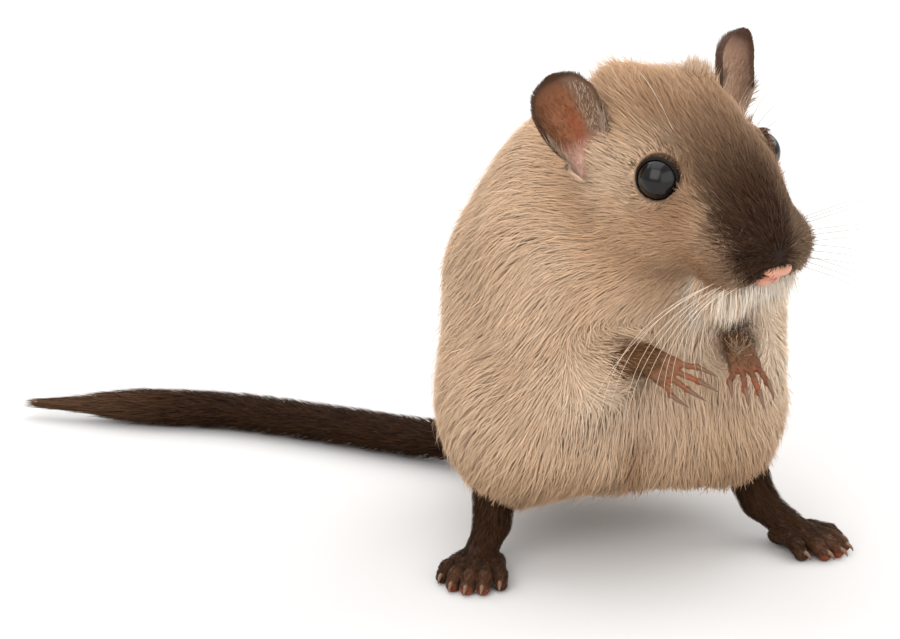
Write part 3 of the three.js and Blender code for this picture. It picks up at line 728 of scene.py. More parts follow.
def markings(p):
    """The coat's colour at places on the head and trunk."""
    h = in_head(p)
    side = folded(h)
    x, y, z = side[..., 0], side[..., 1], side[..., 2]
    on_head = headness(p)
    low = 1 - smooth(p[..., 2], 11, 25)
    colour = mixed(SAND, FAWN, 0.15 + 0.12 * ripple(p, 9, 3) + 0.5 * low)
    colour = mixed(colour, CREAM, 0.4 * (1 - on_head) * spot(p, *BELLY_LIGHT))
    # Browner on the back and rump, and painted shade in the furrow of the belly.
    colour = mixed(colour, UMBER, 0.3 * smooth(p[..., 1], 8, 26) * (1 - on_head))
    colour = mixed(colour, UMBER, 0.6 * belly_crease(p))
    # Browner on the crown and cheeks than in front of the ears and round the eyes.
    colour = mixed(colour, BUFF, 0.9 * on_head * smooth(y, -18, -2))
    for share, nape in ((0.4, (7, 15)), (0.35, (0, 7))):
        colour = mixed(colour, UMBER, share * on_head * smooth(z, 0, 6) * (1 - smooth(y, *nape)))
    for tone, share, place, radii, ends in HEAD_SPOTS:
        colour = mixed(colour, tone, share * (on_head if ends else 1) * spot(side, place, radii))
    # A pale ring and a dark rim round each eye.
    away = eye_away(p)
    colour = mixed(colour, CREAM, 0.2 * smooth(y, -5, 1) * np.exp(-(((away - 5) / 1.2) ** 2)))
    colour = mixed(colour, SABLE, 0.75 * (1 - smooth(away, EYE_RADIUS + 0.25, EYE_RADIUS + 1.1)))
    colour = mixed(colour, UMBER, 0.95 * on_head * spot(side, *PAD_SPOT))
    colour = mixed(colour, MASK, on_head * mask_share(h))
    # White chin and upper lip.
    chin = (1 - smooth(z, -11.5, -9.5)) * (1 - smooth(x, 3, 5.5)) * (1 - smooth(y, -8, -2))
    lip = (1 - smooth(z, -8.4, -7.2)) * (1 - smooth(y, -14, -12))
    lip = lip * (1 - smooth(np.abs(h[..., 0] - 2), 2.5, 4.5))
    colour = mixed(colour, WHITE, 0.95 * on_head * np.maximum(chin, lip))
    for tone, share, place, radii in TRUNK_SPOTS:
        colour = mixed(colour, tone, share * (1 - on_head) * spot(p, place, radii))
    # Darker towards the paws.
    for (near, along), start in zip(arm_shares(p), WRIST_STARTS):
        colour = mixed(colour, WRIST_BROWN, 0.95 * near**4 * smooth(along, start, start + 0.3))
    shin_away = np.minimum(*[shin(p) for shin in shins])
    return mixed(colour, SABLE, 0.7 * (1 - smooth(shin_away, -0.5, 2.5)))


# ---- The lie of the coat ----


def lie(p):
    """The way the coat lies at places on the head and trunk, before it is laid on the skin."""
    h = in_head(p)
    from_nose = unit(h - [0, -19, -2])
    from_nose[..., 2] -= 0.35 * smooth(-h[..., 2], 2, 10)
    head_way = unit(from_nose) @ HEAD.T
    side = np.clip(np.abs(p[..., 0] - 1) / 18, 0, 1)
    down = np.stack([0.3 * np.sign(p[..., 0] - 2) * side, 0.1 + 0.45 * side, -np.ones(len(p))], -1)
    rump = smooth(p[..., 1], 12, 24)[..., None] * (1 - smooth(p[..., 2], 18, 40))[..., None]
    down = down * (1 - rump) + rump * unit([-0.1, 0.3, -1.0])
    share = (1 - smooth(head_only(h), 3, 15))[..., None]
    way = share * head_way + (1 - share) * unit(down)
    for arm, (near, along) in zip(ARMS.values(), arm_shares(p)):
        pull = 2.5 * near * smooth(along, 0.1, 0.8)
        way = way + pull[..., None] * unit(np.array(arm["wrist"]) - np.array(arm["elbow"]))
    # It parts round the eyes.
    eye = np.where(h[..., :1] < 0, -1, 1) * [1, 0, 0] * EYE_AT + [0, EYE_AT[1], EYE_AT[2]]
    near = 1 - smooth(eye_away(p), EYE_RADIUS + 0.5, EYE_RADIUS + 3)
    way = way + 1.3 * near[..., None] * (unit(h - eye) @ HEAD.T)
    return unit(way)


def laid(way, normal):
    return unit(way - (way * normal).sum(-1, keepdims=True) * normal)


def turned(way, normal, angle):
    return way * np.cos(angle)[..., None] + np.cross(normal, way) * np.sin(angle)[..., None]


# ---- Tufts ----


def scattered(points, quads, density):
    """Random places on a mesh, so many to a square millimetre at each."""
    corners = points[quads]
    a, b, c, d = corners[:, 0], corners[:, 1], corners[:, 2], corners[:, 3]
    triangles = np.concatenate([np.stack([a, b, c], 1), np.stack([a, c, d], 1)])
    middle = triangles.mean(1)
    sides = np.cross(triangles[:, 1] - triangles[:, 0], triangles[:, 2] - triangles[:, 0])
    area = np.linalg.norm(sides, axis=1) / 2
    expected = area * density(middle)
    number = np.floor(expected + rng.random(len(expected))).astype(int)
    pick = np.repeat(np.arange(len(triangles)), number)
    u, v = rng.random((2, len(pick)))
    fold = u + v > 1
    u, v = np.where(fold, 1 - u, u), np.where(fold, 1 - v, v)
    t = triangles[pick]
    return t[:, 0] + u[:, None] * (t[:, 1] - t[:, 0]) + v[:, None] * (t[:, 2] - t[:, 0])


def locks(roots, share):
    """For each root, the nearest of a random share of them, which leads its lock."""
    leaders = rng.choice(len(roots), max(1, int(len(roots) * share)), replace=False)
    tree = kdtree.KDTree(len(leaders))
    for i, leader in enumerate(leaders):
        tree.insert(Vector(roots[leader]), i)
    tree.balance()
    return leaders[np.array([tree.find(Vector(root))[1] for root in roots])]


def drawn(paths, lead, pull):
    """Draws the tips of paths towards the tips of the paths that lead them."""
    apart = paths[lead][:, :1] - paths[:, :1]
    share = (np.linspace(0, 1, paths.shape[1]) ** 1.5)[None, :, None] * pull
    near = np.linalg.norm(apart, axis=-1, keepdims=True) < LOCK_REACH
    return paths + (paths[lead] - paths - apart * (1 - share)) * share * near


def blades(paths, widths, outward, shaded_root_tint, lit_tip_tint):
    """Closed three-sided blades along paths, each to a point: their points, triangles, tints and normals.

    The normals lean towards the skin's own, so that the coat is shaded as one soft surface.
    """
    number, rings = paths.shape[0], paths.shape[1] - 1
    ahead = unit(np.gradient(paths, axis=1))
    across = unit(np.cross(ahead, outward[:, None, :]))
    lift = np.cross(across, ahead)
    shares = np.linspace(0, 1, rings + 1)[:-1]
    half = (widths[:, None] / 2 * (1 - 0.75 * shares**1.6))[..., None]
    ring = paths[:, :-1]
    across, lift = across[:, :-1], lift[:, :-1]
    feet = [ring - half * (across + 0.12 * lift), ring + half * (across - 0.12 * lift)]
    corners = [*feet, ring + 0.3 * half * lift]
    rows = np.stack(corners, 2).reshape(number, rings * 3, 3)
    points = np.concatenate([rows, paths[:, -1:]], 1)
    soft = unit(0.75 * outward[:, None, :] + 0.25 * lift)
    leans = np.stack([soft - 0.2 * across, soft + 0.2 * across, soft], 2).reshape(number, rings * 3, 3)
    normals = np.concatenate([leans, soft[:, -1:]], 1)
    triangles = [(0, 1, 2)]
    for i in range(rings - 1):
        for j in range(3):
            k = (j + 1) % 3
            p, q, r, s = 3 * i + j, 3 * i + k, 3 * i + 3 + k, 3 * i + 3 + j
            triangles += [(p, r, q), (p, s, r)]
    last = 3 * (rings - 1)
    triangles += [(last + (j + 1) % 3, last + j, 3 * rings) for j in range(3)]
    per = 3 * rings + 1
    faces = (np.arange(number) * per)[:, None, None] + np.array(triangles)[None]
    along = np.append(np.repeat(shares, 3), 1.0)[None, :, None]
    # Each blade runs from its root tint to its tip tint: the darker roots are painted shade deep in the coat,
    # the paler tips painted highlight.
    tint = shaded_root_tint[:, None] * (1 - along) + lit_tip_tint[:, None] * along
    return points.reshape(-1, 3), faces.reshape(-1, 3), tint.reshape(-1, 3), unit(normals.reshape(-1, 3))


PIECE_LIMIT = 190000  # triangles in one piece of the coat


def coat_objects(name, slot, paths, widths, outward, shaded_root_tint, lit_tip_tint, unwrapped):
    """Blades as joined meshes, each blade with a small patch of the bake map at its root's place."""
    rings = paths.shape[1] - 1
    per, triangles = 3 * rings + 1, 6 * rings - 2
    patch = np.column_stack([np.linspace(0, 0.003, per), 0.0015 * (np.arange(per) % 3)])
    pieces = math.ceil(len(paths) * triangles / PIECE_LIMIT)
    for i, part in enumerate(np.array_split(np.arange(len(paths)), pieces)):
        made = blades(paths[part], widths[part], outward[part], shaded_root_tint[part], lit_tip_tint[part])
        points, faces, tint, normals = made
        piece = mesh_object(f"{name}_{i + 1}", points, faces, COAT, slot, tint, normals)
        uv = (unwrapped[part][:, None] + patch[None]).reshape(-1, 2)
        layer = piece.data.uv_layers.new(name="OFBake")
        layer.data.foreach_set("uv", uv[faces.reshape(-1)].astype(np.float32).ravel())


def chart(a, b, corner, size):
    """Places in one rectangle of the bake map."""
    return np.stack([corner[0] + np.clip(a, 0, 1) * size[0], corner[1] + np.clip(b, 0, 1) * size[1]], -1)


def body_unwrap(p):
    """An unwrap of the head and trunk: the head as a globe, the trunk round its upright axis."""
    h = in_head(p) - [0, -2, -3]
    head = chart(
        (np.arctan2(h[:, 0], h[:, 2]) / math.pi + 1) / 2,
        np.arccos(np.clip(-h[:, 1] / np.maximum(np.linalg.norm(h, axis=1), 1e-6), -1, 1)) / math.pi,
        (0.01, 0.01),
        (0.46, 0.58),
    )
    turn = np.arctan2(p[:, 0] - 1, p[:, 1] - 3)
    trunk = chart((turn / math.pi + 1) / 2, p[:, 2] / 66, (0.5, 0.01), (0.48, 0.58))
    return np.where((past_neck(p) < 0)[:, None], head, trunk)


def streamed(roots, field, way_at, lengths, heights, wander, rings, start=-0.25):
    """Paths that leave roots on the skin, run with the lie of the coat and rise to their heights above it."""
    paths = [roots]
    place = roots
    for i in range(1, rings + 1):
        normal = unit(gradient(field, place))
        way = turned(laid(way_at(place), normal), normal, wander)
        place = place + way * (lengths / rings)[:, None]
        height = heights * math.sin(math.pi / 2 * i / rings) ** 0.9
        slope = gradient(field, place)
        value = field(place)
        place = place + ((height - value) / np.maximum((slope * slope).sum(-1), 0.3))[:, None] * slope
        paths.append(place)
    paths = np.stack(paths, 1)
    normal = unit(gradient(field, roots))
    paths[:, 0] += normal * start
    return paths, normal


def about(size, spread, number):
    """Sizes of single tufts about a size."""
    return size * np.exp(spread * rng.normal(size=number))


def varied(colour, number, amount=0.1, warm=0.02):
    """Colours of single tufts about a colour. Dark ones differ more than light ones."""
    darkness = 1 - smooth(colour[..., 0], 0.04, 0.3)
    light = 1 + (amount + 0.16 * darkness) * rng.normal(size=number)
    tone = 1 + warm * rng.normal(size=(number, 1)) * np.array([[1, 0, -1]])
    return np.clip(colour * light[:, None] * tone, 0.004, 1)


# ---- The skin ----


def ear_half_width(v):
    rise = np.clip((v / EAR_WIDEST + 0.15) / 1.15, 0, 1)
    rise = rise**3 * (rise * (rise * 6 - 15) + 10)
    low_part = EAR_HALF_WIDTH * (0.4 + 0.6 * rise)
    over = np.maximum(v - EAR_WIDEST, 0) / (1 - EAR_WIDEST)
    high_part = EAR_HALF_WIDTH * np.sqrt(np.maximum(0, 1 - over**2.2))
    return np.where(v < EAR_WIDEST, low_part, high_part)


def ear_sheet(name, rows=34, columns=30):
    """Inner and outer sheets of an ear, with each point's height share, sideways share and way out."""
    side, size = SIDES[name], EARS[name]
    root = mirrored(size["root"], side)
    axis = mirrored(size["tip"], side) - root
    up = unit(axis)
    front = mirrored(size["faces"], side)
    front = unit(front - front @ up * up)
    across = np.cross(up, front)
    v = EAR_FOOT + EAR_RISE * np.sin(np.linspace(0, 1, rows) * math.pi / 2)[:, None]
    c = np.linspace(-1, 1, columns)[None, :]
    v, c = np.broadcast_arrays(v, c)
    angle = np.radians(EAR_WRAP - EAR_OPENS * np.minimum(1, v / 0.75))
    radius = np.maximum(ear_half_width(v) / np.sin(np.minimum(angle, math.pi / 2)), 0.8)
    arc = np.minimum(angle, ear_half_width(v) / radius + np.where(angle > math.pi / 2, angle, 0))
    turn = c * arc
    edge = np.maximum(np.abs(c), smooth(v, 0.8, 1.0))
    curl = EAR_CURL * smooth(edge, 0.75, 1.0)
    fold = EAR_FOLD * np.exp(-(((c + 0.15) / 0.16) ** 2)) * smooth(v, 0.1, 0.3) * (1 - smooth(v, 0.45, 0.75))
    half = EAR_HALF_THICK * np.sqrt(np.maximum(0.06, 1 - edge**6))
    sheets = []
    for layer in (-1, 1):
        wall = radius + layer * half - curl - (fold if layer < 0 else 0)
        place = (
            root
            + v[..., None] * axis
            + (wall * np.sin(turn))[..., None] * across
            + (radius * 0.7 - wall * np.cos(turn))[..., None] * front
        )
        sheets.append(of_head(place.reshape(-1, 3)))
    out = (np.sin(turn)[..., None] * across - np.cos(turn)[..., None] * front).reshape(-1, 3)
    return sheets[0], sheets[1], v.ravel(), c.ravel(), of_head(out) - HEAD_AT, of_head(up) - HEAD_AT


def ear_mesh(name, rows=34, columns=30):
    inner, outer, v, c, _, _ = ear_sheet(name, rows, columns)
    grid = sheet_quads(rows, columns)
    count = rows * columns
    edge = np.concatenate([
        np.arange(columns),
        np.arange(1, rows) * columns + columns - 1,
        (rows - 1) * columns + np.arange(columns - 2, -1, -1),
        np.arange(rows - 2, 0, -1) * columns,
    ])
    after = np.roll(edge, -1)
    rim = np.stack([edge, after, after + count, edge + count], 1)
    tints = [ear_tint(v, c, name, inside) for inside in (True, False)]
    return np.vstack([inner, outer]), np.vstack([grid[:, ::-1], grid + count, rim]), np.vstack(tints)


def ear_tint(v, c, name, inside):
    """An ear's colour at height shares v and sideways shares c."""
    medial = -SIDES[name] * c
    rim = np.maximum.reduce([smooth(-medial, 0.74, 0.92), smooth(medial, 0.86, 0.98), smooth(v, 0.88, 0.97)])
    rim = rim * smooth(v, 0.25, 0.45)
    if not inside:
        return layered(EAR_BACK, v, (SAND, 1 - smooth(v, 0.2, 0.4)), (EAR_RIM, rim))
    crease = np.exp(-(((medial - 0.05) / 0.2) ** 2)) * (1 - smooth(v, 0.5, 0.75)) * smooth(v, 0.2, 0.35)
    return layered(
        EAR_INSIDE[name],
        v,
        (EAR_SHADE, 0.65 * smooth(-medial, 0.3, 0.85) * smooth(v, 0.3, 0.5)),
        (EAR_SHADE, 0.6 * smooth(v, 0.75, 0.92)),
        (EAR_GREY, 0.85 * smooth(medial, 0.15, 0.5)),
        (EAR_RED, EAR_CREASE[name] * crease),
        (EAR_PINK, 0.9 * (1 - smooth(v, 0.2, 0.42))),
        (EAR_RIM, 0.95 * rim),
    )


def block(field, low, high, step):
    """A closed piece of skin from a field in a box, its points moved onto the field's surface."""
    points, quads = surface(field, low, high, step)
    for _ in range(2):
        slope = gradient(field, points, step / 5)
        square = np.maximum((slope * slope).sum(-1), 0.3)
        move = np.clip(field(points) / square, -step / 2, step / 2)
        points = points - move[:, None] * slope
    return points, quads


def joined(parts):
    points, faces, tints, start = [], [], [], 0
    for part_points, part_faces, part_tint in parts:
        points.append(part_points)
        faces.append(np.asarray(part_faces) + start)
        tints.append(part_tint)
        start += len(part_points)
    return np.vstack(points), np.vstack(faces), np.vstack(tints)


def paw_tint(p, name):
    """Brown on the back of a hand, redder at the sides and undersides of its fingers."""
    at = hand_frame(ARMS[name])
    wrist = at(0, 0, 0)
    reach, aside, lift = [(p - wrist) @ unit(at(*way) - wrist) for way in np.eye(3)]
    middles = [np.interp(reach, (PALM_LENGTH, length), (knuckle, tip)) for knuckle, tip, length in FINGERS]
    gaps = np.minimum.reduce([np.abs(aside - middle) for middle in middles])
    sides = smooth(gaps, 0.25, 0.6) * smooth(reach, PALM_LENGTH - 0.5, PALM_LENGTH + 1)
    red = 0.75 * sides + 0.4 * smooth(reach, 5.2, 7.5) + 0.4 * smooth(-lift, 0.1, 0.9)
    return layered(WRIST_BROWN, p, (HAND_BACK[name], smooth(reach, -1.5, 2.5)), (ROSE, red))


def foot_tint(p, name):
    """Dark brown, paler and redder at the tips of the toes."""
    leg = LEGS[name]
    fx, fy = leg["points"]
    reach = (p[:, 0] - leg["ball"][0]) * fx + (p[:, 1] - leg["ball"][1]) * fy
    red = 0.45 * smooth(reach, 6.5, 9) * (1 - smooth(p[:, 2], 0.5, 1.5))
    return layered(SABLE, p, (TOE_BROWN, 0.65 * smooth(reach, 4, 8)), (ROSE, red))


def box_round(points, margin):
    points = np.array(points, float)
    return points.min(0) - margin, points.max(0) + margin


def hand_part(arm):
    """A hand and the end of its forearm: the points, the quads and the field of its skin."""
    at, whole = hand_frame(arm), hand_field(arm)
    inner, way = at(-4.5, 0, 0), unit(arm["points"])

    def field(p):
        return np.maximum(whole(p) + HAND_COAT, (inner - p) @ way)

    low, high = box_round([at(-4, 0, 0), at(9, 2.5, 0), at(9, -2.5, 0)], 3)
    return *block(field, low, high, SKIN_STEPS["hand"]), field


def foot_part(leg):
    """A foot and its lower leg, in the same way."""
    at, whole = foot_frame(leg), foot_field(leg)

    def field(p):
        return whole(p) + FOOT_COAT * smooth(p[..., 2], 0.2, 1.2)

    low, high = box_round([at(10, 5, 1), at(10, -5, 1), leg["knee"], at(0, 5, 1), at(0, -5, 1)], 3)
    low[2] = -0.4
    return *block(field, low, high, SKIN_STEPS["foot"]), field


def tail_mesh(rows=150, sides=24):
    share = np.linspace(0, 1, rows)
    place, ahead = catmull(TAIL_ROUTE, share * TAIL_SKIN_END)
    aside = unit(np.cross(ahead, [0, 0, 1]))
    up = np.cross(aside, ahead)
    radius = tail_skin_radius(share * TAIL_SKIN_END) * (1 - 0.7 * smooth(share, 0.8, 1))
    ends = np.where((share == 0) | (share == 1), 0.02, 1)
    ring = ring_of(aside[:, None], up[:, None], full_turn(sides))
    points = place[:, None] + ring * radius[:, None, None] * ends[:, None, None]
    return points.reshape(-1, 3), sheet_quads(rows, sides, closed=True)[:, ::-1]


TRUNK_BOX = ((-30, -32, 1), (32, 34, 66))
HEAD_BOX = ((-12, -40, 38), (32, 14, 77))
# The skin is the coat's markings darkened by this share: painted shade under the coat.
SKIN_PAINTED_SHADE = 0.9
trunk_part = block(trunk_skin, *TRUNK_BOX, SKIN_STEPS["trunk"])
head_part = block(head_skin, *HEAD_BOX, SKIN_STEPS["head"])
hand_parts = {name: hand_part(arm) for name, arm in ARMS.items()}
foot_parts = {name: foot_part(leg) for name, leg in LEGS.items()}
FLESH = [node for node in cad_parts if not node.startswith(("claw", "eye", "nose"))]


def grow_skin():
    """One skin under the whole coat, with the coat's markings a little darker as painted shade under the
    coat.
    """
    parts = [(points, quads, markings(points) * SKIN_PAINTED_SHADE) for points, quads in (trunk_part, head_part)]
    points, quads = tail_mesh()
    parts.append((points, quads, layered(TAIL_SKIN, points)))
    for limbs, tint_of in ((hand_parts, paw_tint), (foot_parts, foot_tint)):
        for name, (points, quads, _) in limbs.items():
            parts.append((points, quads, tint_of(points, name)))
    parts += [ear_mesh(name) for name in SIDES]
    points, faces, tint = joined(parts)
    skin = mesh_object("skin", points, faces, SKIN, "coat", tint)
    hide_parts(*FLESH)


grow_skin()


# ---- The coat ----


def bare(p):
    """1 where hair grows, 0 on the lids, the nose pad and the lips."""
    h = in_head(p)
    eyes = smooth(eye_away(p), EYE_RADIUS + 0.2, EYE_RADIUS + 0.45)
    x = np.abs(h[..., 0])
    pad = smooth(np.hypot(x / 2.8, (h[..., 2] + 5.3) / 1.9), 0.8, 1.1)
    nose = np.where(h[..., 1] < -15.5, pad, 1.0)
    return eyes * nose


def coat_length(p):
    length = by_region(p, *COAT_LENGTH)
    length *= 0.5 + 0.5 * smooth(eye_away(p), EYE_RADIUS + 0.5, EYE_RADIUS + 3)
    return length * (0.35 + 0.65 * smooth(limb_away(p), 0, 4))


def ruff(p):
    """How much further the coat stands out in front of the ears."""
    return 1 + 1.3 * spot(folded(in_head(p)), (7, 10.5, 6), (2.8, 3, 3))


def grow_coat(name, slot, part, side):
    """Tufts over the skin on one side of the neck plane."""
    points, quads = part
    kept = side * past_neck(points[quads].mean(1)) > 0.1
    roots = scattered(points, quads[kept], lambda p: by_region(p, *TUFT_DENSITY) * bare(p))
    roots = roots[np.abs(skin_field(roots)) < 0.12]
    number = len(roots)
    stray = (rng.random(number) < STRAY_SHARE) * rng.random(number)
    lengths = about(coat_length(roots), 0.17, number) * (1 + 0.35 * stray)
    heights = coat_depth(roots) * ruff(roots) * (0.15 + 1.05 * rng.beta(3, 1.3, number) + 0.45 * stray)
    heights += 0.55 * stray
    wander = 0.15 * rng.normal(size=number) + 0.1 * ripple(roots, 6, 11)
    paths, outward = streamed(roots, skin_field, lie, lengths, heights, wander, 2)
    lead = locks(roots, LOCK_SHARE)
    paths = drawn(paths, lead, LOCK_PULL)
    place = roots + 0.6 * (roots[lead] - roots) + 0.7 * rng.normal(size=roots.shape)
    colour = varied(markings(place), number, by_region(roots, *TUFT_SHADES))
    colour = colour * (1 + 0.05 * rng.normal(size=(number, 1)))[lead]
    widths = about(by_region(roots, *TUFT_WIDTH), 0.22, number)
    # Roots darker and tips a little paler: painted shade deep in the coat and painted highlight at the tips;
    # dark tufts also get brown tips as painted highlight.
    darkness = 1 - smooth(colour[:, :1], 0.04, 0.3)
    shaded_root_tint = colour * (0.99 - 0.3 * darkness)
    lit_tip_tint = mixed(colour * 1.03, UMBER, 0.35 * darkness[:, 0] * rng.random(number))
    coat_objects(name, slot, paths, widths, outward, shaded_root_tint, lit_tip_tint, body_unwrap(roots))


# Number of tufts, their lengths, how far a lock is drawn together, place on the bake map and how far the
# tufts are shaded as facing forward.
HANGING = {
    "coat_chin": (1300, (1.6, 4.2), 0.3, (0.2, 0.74), 0.9),
    "coat_beard": (800, (3.0, 7.0), 0.3, (0.3, 0.74), 0.8),
    "coat_cuffs": (700, (1.8, 3.6), 0.3, (0.65, 0.74), 0.3),
    "coat_breast": (700, (2.5, 5), 0.3, (0.75, 0.74), 0.75),
    "coat_ear_tufts": (520, (2.4, 5.2), 0.5, (0.42, 0.74), 0.6),
    "coat_muzzle": (1500, (0.6, 1.5), 0.3, (0.1, 0.74), 0.0),
}


def hanging(name, places, tilt, colour):
    """Loose tufts from places near the skin, along the ways they tilt."""
    number, lengths, pull, corner, forward = HANGING[name]
    roots = onto(skin_field, places)
    outward = unit(gradient(skin_field, roots))
    way = unit(tilt + 0.15 * rng.normal(size=(number, 3)))
    run = rng.uniform(*lengths, number)[:, None]
    paths = [roots - 0.2 * outward]
    paths += [roots + run * t * unit((0.9 - 0.7 * t) * outward + way) for t in (0.5, 1)]
    paths = drawn(np.stack(paths, 1), locks(roots, LOOSE_LOCK_SHARE), pull)
    lit = unit((1 - forward) * outward + forward * unit([-0.1, -0.75, 0.55]))
    colour = varied(colour, number, 0.07)
    place = chart(rng.random(number), rng.random(number), corner, (0.08, 0.02))
    # Roots a little darker than tips: painted shade where the tufts leave the skin.
    coat_objects(name, "head_coat", paths, rng.uniform(0.08, 0.13, number), lit, colour * 0.92, colour, place)


def flips(side):
    """What turns places on the head's left side to the sides given, 1 for left and -1 for right."""
    return np.stack([side, np.ones(len(side)), np.ones(len(side))], -1)


def grow_chin():
    """White tufts under the lip."""
    number = HANGING["coat_chin"][0]
    x = rng.uniform(-2.5, 8, number)
    under = np.stack([x, -17 + 0.06 * x**2, np.full(number, -8.8)], -1) + 0.5 * rng.normal(size=(number, 3))
    tilt = np.stack([0.06 * x, np.full(number, -0.15), np.full(number, -1.0)], -1)
    hanging("coat_chin", of_head(under), tilt, mixed(WHITE, CREAM, 0.6 * rng.random(number)))


def grow_beard():
    """Longer pale tufts that fan out from the lower edge of the cheeks, behind the chin."""
    number = HANGING["coat_beard"][0]
    back = 0.3 * rng.random(number) ** 1.5  # 0 at the chin, 1 at the back of the cheek
    side = rng.choice((-1, 1), number)
    x = side * (2 + rng.random(number) * 3.5 + 7.5 * back)
    under = np.stack([x, -16.5 + 13 * back, -10 - 3.5 * back], -1) + 1.1 * rng.normal(size=(number, 3))
    tilt = np.stack([0.5 * side * (0.3 + back), 0.1 * back - 0.1, np.full(number, -1.0)], -1)
    colour = mixed(WHITE, CREAM, rng.random(number))
    colour = mixed(colour, BUFF, smooth(back, 0.05, 0.3) + 0.35 * rng.random(number))
    hanging("coat_beard", of_head(under), tilt, colour)


def grow_cuffs():
    """Hair that hangs over the wrists."""
    number = HANGING["coat_cuffs"][0]
    side = rng.choice((-1, 1), number)
    along = rng.uniform(0.45, 0.95, number)[:, None]
    right, left = ARMS["right"], ARMS["left"]
    elbow, wrist = [np.where(side[:, None] < 0, right[end], left[end]) for end in ("elbow", "wrist")]
    turn = rng.uniform(-1.3, 1.3, number)
    over = np.stack([np.sin(turn), np.zeros(number), np.cos(turn)], -1)
    places = elbow + along * (wrist - elbow) + 3.4 * over
    tilt = 0.8 * unit(wrist - elbow) + [0, 0, -0.75]
    colour = mixed(mixed(SAND, UMBER, 0.6 * rng.random(number)), WRIST_BROWN, smooth(along[:, 0], 0.6, 0.95))
    hanging("coat_cuffs", places, tilt, colour)


def grow_breast():
    """Pale hair that hangs from the breast, between the wrists."""
    number = HANGING["coat_breast"][0]
    places = np.stack([rng.uniform(7, 17, number), np.full(number, -19.5), rng.uniform(36.5, 42, number)], -1)
    tilt = [0, -0.5, -1] + 0.15 * rng.normal(size=(number, 3))
    hanging("coat_breast", places, tilt, mixed(SAND, CREAM, rng.random(number)))


TAIL_TUFTS = 14500


def grow_tail():
    number = TAIL_TUFTS
    share = rng.random(number) ** 0.92
    turn = rng.random(number) * 2 * math.pi
    length = 2.2 + 4.4 * smooth(share, 0.6, 0.97)
    place, ahead = catmull(TAIL_ROUTE, share * TAIL_ROOTS_END)
    aside = unit(np.cross(ahead, [0, 0, 1]))
    out = ring_of(aside, np.cross(aside, ahead), turn)
    radius = tail_skin_radius(share * TAIL_ROOTS_END)
    inset = np.where(share > 0.9, np.sqrt(rng.random(number)), 1)  # the brush is filled in at its end
    roots = place + out * ((radius - 0.1) * inset)[:, None]
    sideways = np.cross(ahead, out)
    # The brush closes to a point.
    length *= 1 - 0.6 * smooth(share, 0.75, 0.95) * rng.random(number)
    spread = (rng.normal(size=number) * 0.14 * length * (1 - 0.6 * smooth(share, 0.75, 1)))[:, None]
    rise = (0.25 + 0.85 * rng.beta(3, 2, number)) * 1.1 * (1 - 0.4 * smooth(share, 0.75, 1))
    paths = []
    for t in (0, 0.5, 1):
        lift = rise * math.sin(math.pi / 2 * t) - 0.85 * smooth(share, 0.8, 1) * t * radius * inset
        paths.append(roots + ahead * (length * t)[:, None] + out * lift[:, None] + sideways * spread * t)
    paths = np.stack(paths, 1)
    paths[..., 2] = np.maximum(paths[..., 2], 0.12)
    colour = layered(TAIL_BROWN, roots, (TAIL_TIP, 0.85 * smooth(share, 0.7, 0.95)))
    colour = varied(colour, number, 0.2)
    colour = mixed(colour, FAWN, (1 - smooth(share, 0.0, 0.13)) * (rng.random(number) < 0.6))
    widths = about(0.17, 0.2, number)
    place = chart(share, turn / 7, (0.01, 0.62), (0.97, 0.1))
    # Darker roots and paler tips: painted shade deep in the coat, painted highlight at the tips.
    coat_objects("coat_tail", "dark_coat", paths, widths, out, colour * 0.75, colour * 1.15, place)


# At each stop, how long the tufts are and how high they rise; for hands the stops run along the hand from
# the wrist, for feet up from the floor.
HAND_HAIR = {"stops": (-4, 0, 5), "lengths": (2.6, 1.1, 0.5), "heights": (0.9, 0.3, 0.12), "width": 0.13}
FOOT_HAIR = {"stops": (1, 4, 9), "lengths": (0.8, 1.3, 2.4), "heights": (0.16, 0.3, 0.8), "width": 0.16}


def grow_limb(name, slot, part, hair, measure, density, way_at, tint_at, corner):
    points, quads, field = part
    roots = scattered(points, quads, density)
    roots = roots[roots[:, 2] > 0.5]
    number = len(roots)
    lengths = about(np.interp(measure(roots), hair["stops"], hair["lengths"]), 0.2, number)
    heights = np.interp(measure(roots), hair["stops"], hair["heights"]) * rng.beta(3, 1.8, number)
    wander = 0.16 * rng.normal(size=number)
    paths, normal = streamed(roots, field, way_at, lengths, heights, wander, 2, -0.08)
    paths[..., 2] = np.maximum(paths[..., 2], 0.06)
    colour = varied(tint_at(roots), number, 0.16)
    widths = about(hair["width"], 0.2, number)
    place = (roots - points.min(0)) / np.ptp(points, axis=0)
    place = chart(place[:, 0], place[:, 1], corner, (0.2, 0.2))
    # Darker roots and paler tips: painted shade deep in the hair, painted highlight at the tips.
    coat_objects(name, slot, paths, widths, normal, colour * 0.8, colour * 1.15, place)


def grow_hand(name, corner):
    way = unit(ARMS[name]["points"])

    def reach(p):
        return (p - np.array(ARMS[name]["wrist"])) @ way

    def density(p):
        return 9 * (1 - smooth(reach(p), 3.0, 6.5)) + 2

    def way_at(p):
        return np.broadcast_to(way, p.shape)

    def tint_at(p):
        return paw_tint(p, name)

    kind = (f"coat_hand_{name}", "forepaw", hand_parts[name], HAND_HAIR)
    grow_limb(*kind, reach, density, way_at, tint_at, corner)


def grow_foot(name, corner):
    ball, knee = (np.array(LEGS[name][key], float) for key in ("ball", "knee"))
    toe_way = np.array([*LEGS[name]["points"], -0.12])

    def height(p):
        return p[:, 2]

    def density(p):
        return np.full(len(p), 11.0)

    def way_at(p):
        low = (1 - smooth(p[:, 2], 3.5, 6))[:, None]
        return unit(low * toe_way + (1 - low) * unit(ball - knee))

    def tint_at(p):
        return foot_tint(p, name)

    kind = (f"coat_foot_{name}", "hind_foot", foot_parts[name], FOOT_HAIR)
    grow_limb(*kind, height, density, way_at, tint_at, corner)


EAR_TUFTS = 3600  # on each face of each ear
EAR_GRID = 60


